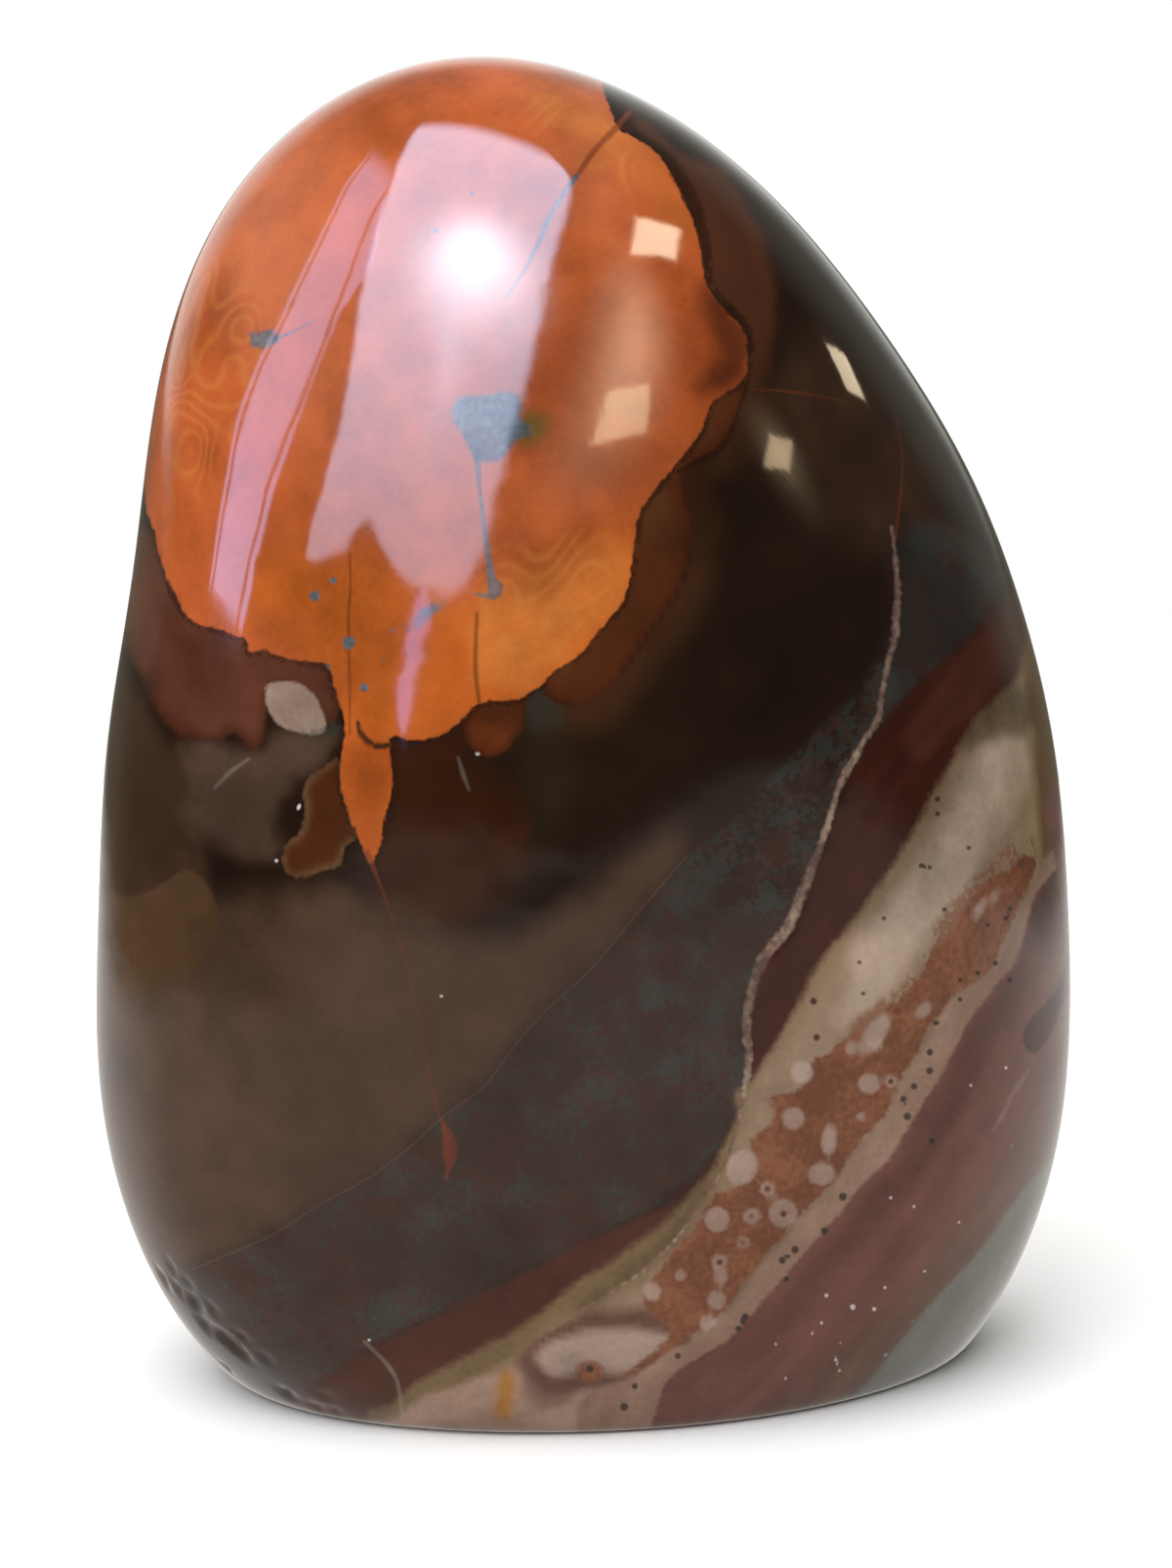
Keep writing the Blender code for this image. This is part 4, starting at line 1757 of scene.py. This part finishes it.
TALL_WINDOW = WindowFace(
    left=((0.0, 0.0), (0.03, 0.03), (0.14, 0.15), (0.22, 0.25), (0.30, 0.31), (0.45, 0.32),
          (0.70, 0.27), (1.0, 0.21)),
    right=((0.0, 0.79), (0.35, 0.73), (0.85, 0.81), (1.0, 0.70)),
    sill=((0.0, 0.03), (0.14, 0.03), (0.32, 0.07), (0.41, 0.115), (0.47, 0.085), (0.55, 0.05),
          (0.72, 0.05), (0.80, 0.12)),
    low=0.5,
)
SIDE_WINDOW = WindowFace(
    left=((0.0, 0.07), (0.08, 0.12), (0.167, 0.21), (0.287, 0.33), (0.433, 0.50), (0.613, 0.54),
          (0.767, 0.43), (0.927, 0.29), (0.987, 0.20)),
    right=((0.0, 0.50), (0.073, 0.56), (0.153, 0.63), (0.30, 0.77), (0.433, 0.90), (0.567, 0.96),
           (0.747, 0.95), (0.987, 0.56)),
    sill=((0.0, 0.065), (0.5, 0.05), (1.0, 0.04)),
    bars=(0.05, 0.37),
    low=1.3,
)


@dataclass(frozen=True)
class Softbox:
    """A studio light that stands on a sphere round the stone and faces it.

    Attributes:
        name: what it is.
        azimuth: degrees from the front, positive to the right.
        elevation: degrees above the table.
        width: across, in degrees as the stone sees it.
        height: up and down, in degrees as the stone sees it.
        brightness: its radiance, where white paper in full light is 1.
        colour: sRGB hex of its light.
        roll: its turn about its own axis, in degrees.
        face: how its face looks.
        mirrored: True if it is only mirrored by the polish, False if it only lights.
        distance: from the stone, in millimetres.
    """

    name: str
    azimuth: float
    elevation: float
    width: float
    height: float
    brightness: float
    colour: str = "#ffffff"
    roll: float = 0.0
    face: Face | WindowFace = Face.SOFT
    mirrored: bool = True
    distance: float = 3000.0

    def glow(self, tree: bpy.types.NodeTree) -> Socket:
        """Draws how bright the face is at each place on it.

        Args:
            tree: the light's node tree.

        Returns:
            The brightness, 1 where the face is at its own brightness.
        """
        pen = Shading(tree)
        calc, step = pen.calc, pen.step

        def curve(value: Socket, points: tuple[Point, ...]) -> Socket:
            """Draws the window's outline: a smooth curve through points over a value."""
            ramp = pen.node("ValToRGB", inputs={0: value})
            stops = ramp.color_ramp.elements
            ramp.color_ramp.interpolation = "CARDINAL"
            for stop, (at, height) in zip([stops[0], stops[1]], (points[0], points[-1])):
                stop.position, stop.color = at, (height, height, height, 1.0)
            for at, height in points[1:-1]:
                stops.new(at).color = (height, height, height, 1.0)
            return ramp.outputs[0]

        # Both run from 0 to 1 over the face
        place = pen.node("NewGeometry").outputs["Parametric"]
        across, up, _ = pen.node("SeparateXYZ", inputs={0: place}).outputs
        from_sides = calc("PINGPONG", across, 0.5)
        from_ends = calc("PINGPONG", up, 0.5)
        if self.face is Face.DIAMOND:
            return step(calc("ADD", from_sides, from_ends), 0.5, 0.6)
        if self.face is Face.ROUND:
            sideways = calc("SUBTRACT", 0.5, from_sides)
            endways = calc("SUBTRACT", 0.5, from_ends)
            away = calc("SQRT", calc("ADD", calc("POWER", sideways, 2.0), calc("POWER", endways, 2.0)))
            return calc("POWER", step(away, 0.5, 0.0), 3.0)
        edge = calc("MULTIPLY", step(from_sides, 0.0, 0.05), step(from_ends, 0.0, 0.08))
        if self.face is Face.SOFT:
            return edge
        inside = calc("SUBTRACT", across, curve(up, self.face.left))
        left = step(inside, 0.0, 0.025)
        right = step(calc("SUBTRACT", curve(up, self.face.right), across), 0.0, 0.02)
        sill = step(calc("SUBTRACT", up, curve(across, self.face.sill)), 0.0, 0.02)
        shade = calc("MULTIPLY_ADD", step(up, 0.05, 0.5), 1.0 - self.face.low, self.face.low)
        glow = calc("MULTIPLY", calc("MULTIPLY", left, right), calc("MULTIPLY", sill, shade))
        for bar in self.face.bars:
            beside = calc("ABSOLUTE", calc("SUBTRACT", inside, bar))
            glow = calc("MULTIPLY", glow, step(beside, 0.004, 0.02))
        return calc("MULTIPLY", glow, step(calc("SUBTRACT", 1.0, up), 0.0, 0.12))

    def build(self, aim: Vector) -> bpy.types.Object:
        """Places the light.

        Args:
            aim: the point it faces, in metres.

        Returns:
            The light object.
        """
        turn, lift = math.radians(self.azimuth), math.radians(self.elevation)
        heading = Vector(
            (math.sin(turn) * math.cos(lift), -math.cos(turn) * math.cos(lift), math.sin(lift))
        )
        data = bpy.data.lights.new(self.name, "AREA")
        data.shape = "RECTANGLE"
        reach = self.distance * MM
        data.size = 2.0 * reach * math.tan(math.radians(self.width / 2.0))
        data.size_y = 2.0 * reach * math.tan(math.radians(self.height / 2.0))
        data.energy = self.brightness * math.pi * data.size * data.size_y
        data.color = linear(self.colour)[:3]
        if self.face is not Face.PLAIN:
            data.use_nodes = True
            emission = data.node_tree.nodes["Emission"]
            data.node_tree.links.new(self.glow(data.node_tree), emission.inputs["Strength"])
        light = bpy.data.objects.new(self.name, data)
        light.location = aim + heading * reach
        facing = (-heading).to_track_quat("-Z", "Y")
        light.rotation_euler = facing.to_euler()
        light.rotation_euler.rotate_axis("Z", math.radians(self.roll))
        light.visible_camera = False
        light.visible_glossy = self.mirrored
        light.visible_diffuse = not self.mirrored
        bpy.context.scene.collection.objects.link(light)
        return light


@dataclass(frozen=True)
class Studio:
    """A plain pale table in a soft, plain studio.

    The boxes that light the stone are plain and not mirrored. What the polish mirrors is
    set apart from them: a tall window, a side window, and a few warm lamps.

    Attributes:
        aim: the point that the lights face, in mm.
        table_radius: of the round table top, in mm.
        bounces: how often light is followed from surface to surface.
        table_colour: sRGB hex of the laminate.
        table_roughness: of its matt surface.
        table_gloss: the little that it mirrors, where 0.5 is a plain clear surface.
        wall_left: the pale wall at the back, to the left. The room's colours are linear.
        wall_right: the same wall to the right, away from the light.
        wall_top: the wall near the ceiling.
        wall_foot: the dark foot of the wall.
        front_dark: the unlit room behind the camera.
        front_pale: the upper part of that room far to the left.
        table_front: the table's near side as the polish mirrors it.
        table_back: its far side.
        backdrop: what the camera itself sees behind the stone.
        boxes: the lights.
    """

    aim: Place = (0.0, 0.0, 60.0)
    table_radius: float = 200.0
    bounces: int = 4
    table_colour: str = "#e4e4e3"
    table_roughness: float = 0.9
    table_gloss: float = 0.1
    wall_left: Colour = (1.15, 1.15, 1.10, 1.0)
    wall_right: Colour = (0.20, 0.20, 0.17, 1.0)
    wall_top: Colour = (0.25, 0.25, 0.26, 1.0)
    wall_foot: Colour = (0.14, 0.13, 0.10, 1.0)
    front_dark: Colour = (0.04, 0.037, 0.032, 1.0)
    front_pale: Colour = (1.0, 0.95, 0.85, 1.0)
    table_front: Colour = (0.40, 0.35, 0.31, 1.0)
    table_back: Colour = (0.75, 0.72, 0.68, 1.0)
    backdrop: Colour = (1.0, 1.0, 1.0, 1.0)
    boxes: tuple[Softbox, ...] = (
        Softbox("key_light", -40.0, 42.0, 60.0, 60.0, 3.0, face=Face.PLAIN, mirrored=False),
        Softbox("ceiling_light", 0.0, 88.0, 74.0, 74.0, 2.1, face=Face.PLAIN, mirrored=False),
        Softbox("fill_light", 70.0, 24.0, 50.0, 50.0, 0.7, face=Face.PLAIN, mirrored=False),
        Softbox("back_light", 175.0, 48.0, 60.0, 40.0, 1.6, face=Face.PLAIN, mirrored=False),
        Softbox("window", -20.0, 48.8, 73.0, 91.0, 11.5, "#cadcff", face=TALL_WINDOW),
        Softbox("window_glare", -10.0, 45.8, 44.0, 50.0, 17.0, "#eef4ff", face=Face.ROUND),
        Softbox("window_streak", -13.0, 30.0, 12.0, 40.0, 2.5, "#dce8ff", face=Face.ROUND),
        Softbox("side_window", -72.0, 30.0, 53.0, 73.7, 5.6, "#b4c4ff", face=SIDE_WINDOW),
        Softbox("door_gap", -16.8, 1.9, 1.9, 13.5, 6.0, "#b8b4ff", roll=-51.0),
        Softbox("ceiling_lamp", 69.5, 53.6, 33.0, 8.5, 13.0, "#fff0d2", roll=-4.0,
                face=Face.DIAMOND),
        Softbox("warm_wall", 22.0, 34.5, 28.0, 90.0, 5.5, "#ffe8c8", roll=-41.0, face=Face.ROUND),
        Softbox("warm_screen", 15.3, 24.1, 8.0, 20.0, 6.5, "#ffe6be", roll=-50.0,
                face=Face.DIAMOND),
        Softbox("far_lamp", 121.5, 20.5, 16.0, 5.5, 7.0, "#ffe9c4", roll=-12.0,
                face=Face.DIAMOND),
        Softbox("near_lamp", 56.5, 22.4, 19.0, 5.2, 7.0, "#ffe2b4", roll=12.0, face=Face.DIAMOND),
        Softbox("near_lamp_glow", 57.0, 22.5, 36.0, 28.0, 1.5, "#ffe2b4", face=Face.ROUND),
    )

    def build_table(self) -> bpy.types.Object:
        """Makes the round table top under the stone, of matt pale laminate.

        A matt pressed sheet scatters light evenly, so the eye sees a soft contact shadow on
        it and no mirror image.

        Returns:
            The table object.
        """
        top = bmesh.new()
        bmesh.ops.create_circle(top, cap_ends=True, radius=self.table_radius * MM, segments=128)
        data = bpy.data.meshes.new("table")
        top.to_mesh(data)
        top.free()
        material = bpy.data.materials.new("matt_pale_laminate")
        material.use_nodes = True
        shader = material.node_tree.nodes["Principled BSDF"]
        shader.inputs["Base Color"].default_value = linear(self.table_colour)
        shader.inputs["Roughness"].default_value = self.table_roughness
        shader.inputs["Specular IOR Level"].default_value = self.table_gloss
        data.materials.append(material)
        table = bpy.data.objects.new("table", data)
        table.visible_glossy = False
        bpy.context.scene.collection.objects.link(table)
        return table

    def build_room(self) -> bpy.types.World:
        """Makes the room that the polish mirrors, white where the camera sees it.

        Behind the stone it is pale, mostly to the left. In front it is dark. Under the
        table's edge, which lies lower at the back, the polish mirrors the pale table.

        Returns:
            The world.
        """
        world = bpy.data.worlds.new("studio_room")
        world.use_nodes = True
        tree = world.node_tree
        tree.nodes.clear()
        pen = Shading(tree)
        mix, step = pen.mix, pen.step
        # A direction's parts, each from -1 to 1
        heading = pen.node("TexCoord").outputs["Generated"]
        right, back, up = pen.node("SeparateXYZ", inputs={0: heading}).outputs
        wall = mix(self.wall_right, self.wall_left, step(right, 0.45, 0.0))
        wall = mix(wall, self.wall_top, step(up, 0.25, 0.62))
        wall = mix(self.wall_foot, wall, step(up, -0.14, -0.09))
        front_left = mix(self.front_dark, self.front_pale, step(up, 0.15, 0.5))
        front = mix(self.front_dark, front_left, step(right, -0.35, -0.85))
        room = mix(front, wall, step(back, 0.45, 0.85))
        table = mix(self.table_front, self.table_back, step(back, -0.2, 0.6))
        table_edge = pen.calc("MULTIPLY_ADD", back, 0.065, up)
        room = mix(room, table, step(table_edge, -0.165, -0.205))
        camera_ray = pen.node("LightPath").outputs["Is Camera Ray"]
        seen = mix(room, self.backdrop, camera_ray)
        background = pen.node("Background", inputs={"Color": seen, "Strength": 1.0})
        pen.node("OutputWorld", inputs={"Surface": background.outputs[0]})
        world.cycles.sampling_method = "NONE"
        bpy.context.scene.world = world
        return world

    def build(self) -> None:
        """Builds the table, the room and the lights."""
        self.build_table()
        self.build_room()
        for box in self.boxes:
            box.build(Vector(self.aim) * MM)
        bpy.context.scene.view_settings.view_transform = "Standard"
        bpy.context.scene.cycles.max_bounces = self.bounces


class Stone:
    """The jasper freeform, the object's only piece."""

    def __init__(self, form: StoneForm, view: PhotoView) -> None:
        """Keeps the shape that the stone is built to and where its markings are drawn from."""
        self.form = form
        self.view = view

    def build(self) -> bpy.types.Object:
        """Builds and dresses the stone, in place of its solid.

        Returns:
            The stone object.
        """
        data, points = self.form.build_mesh()
        drawing = Drawing(self.view, self.form, points)
        drawing.lay_on(data)
        normals = np.array([vert.normal for vert in data.vertices])
        data.vertices.foreach_set("co", (drawing.pitted(normals) * MM).ravel().astype(np.float32))
        data.materials.append(PolishedJasper().build())
        stone = bpy.data.objects.new("jasper_stone", data)
        bpy.context.scene.collection.objects.link(stone)
        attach(stone, "root")
        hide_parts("stone")
        return stone


def main() -> None:
    """Builds the camera, the studio and the stone, and reports each piece."""
    logging.basicConfig(level=logging.INFO, format="%(name)s: %(message)s")
    view = PhotoView()
    view.build()
    Studio().build()
    stone = Stone(StoneForm(), view).build()
    LOG.info("%s: %d vertices", stone.name, len(stone.data.vertices))


if __name__ == "__main__":
    main()
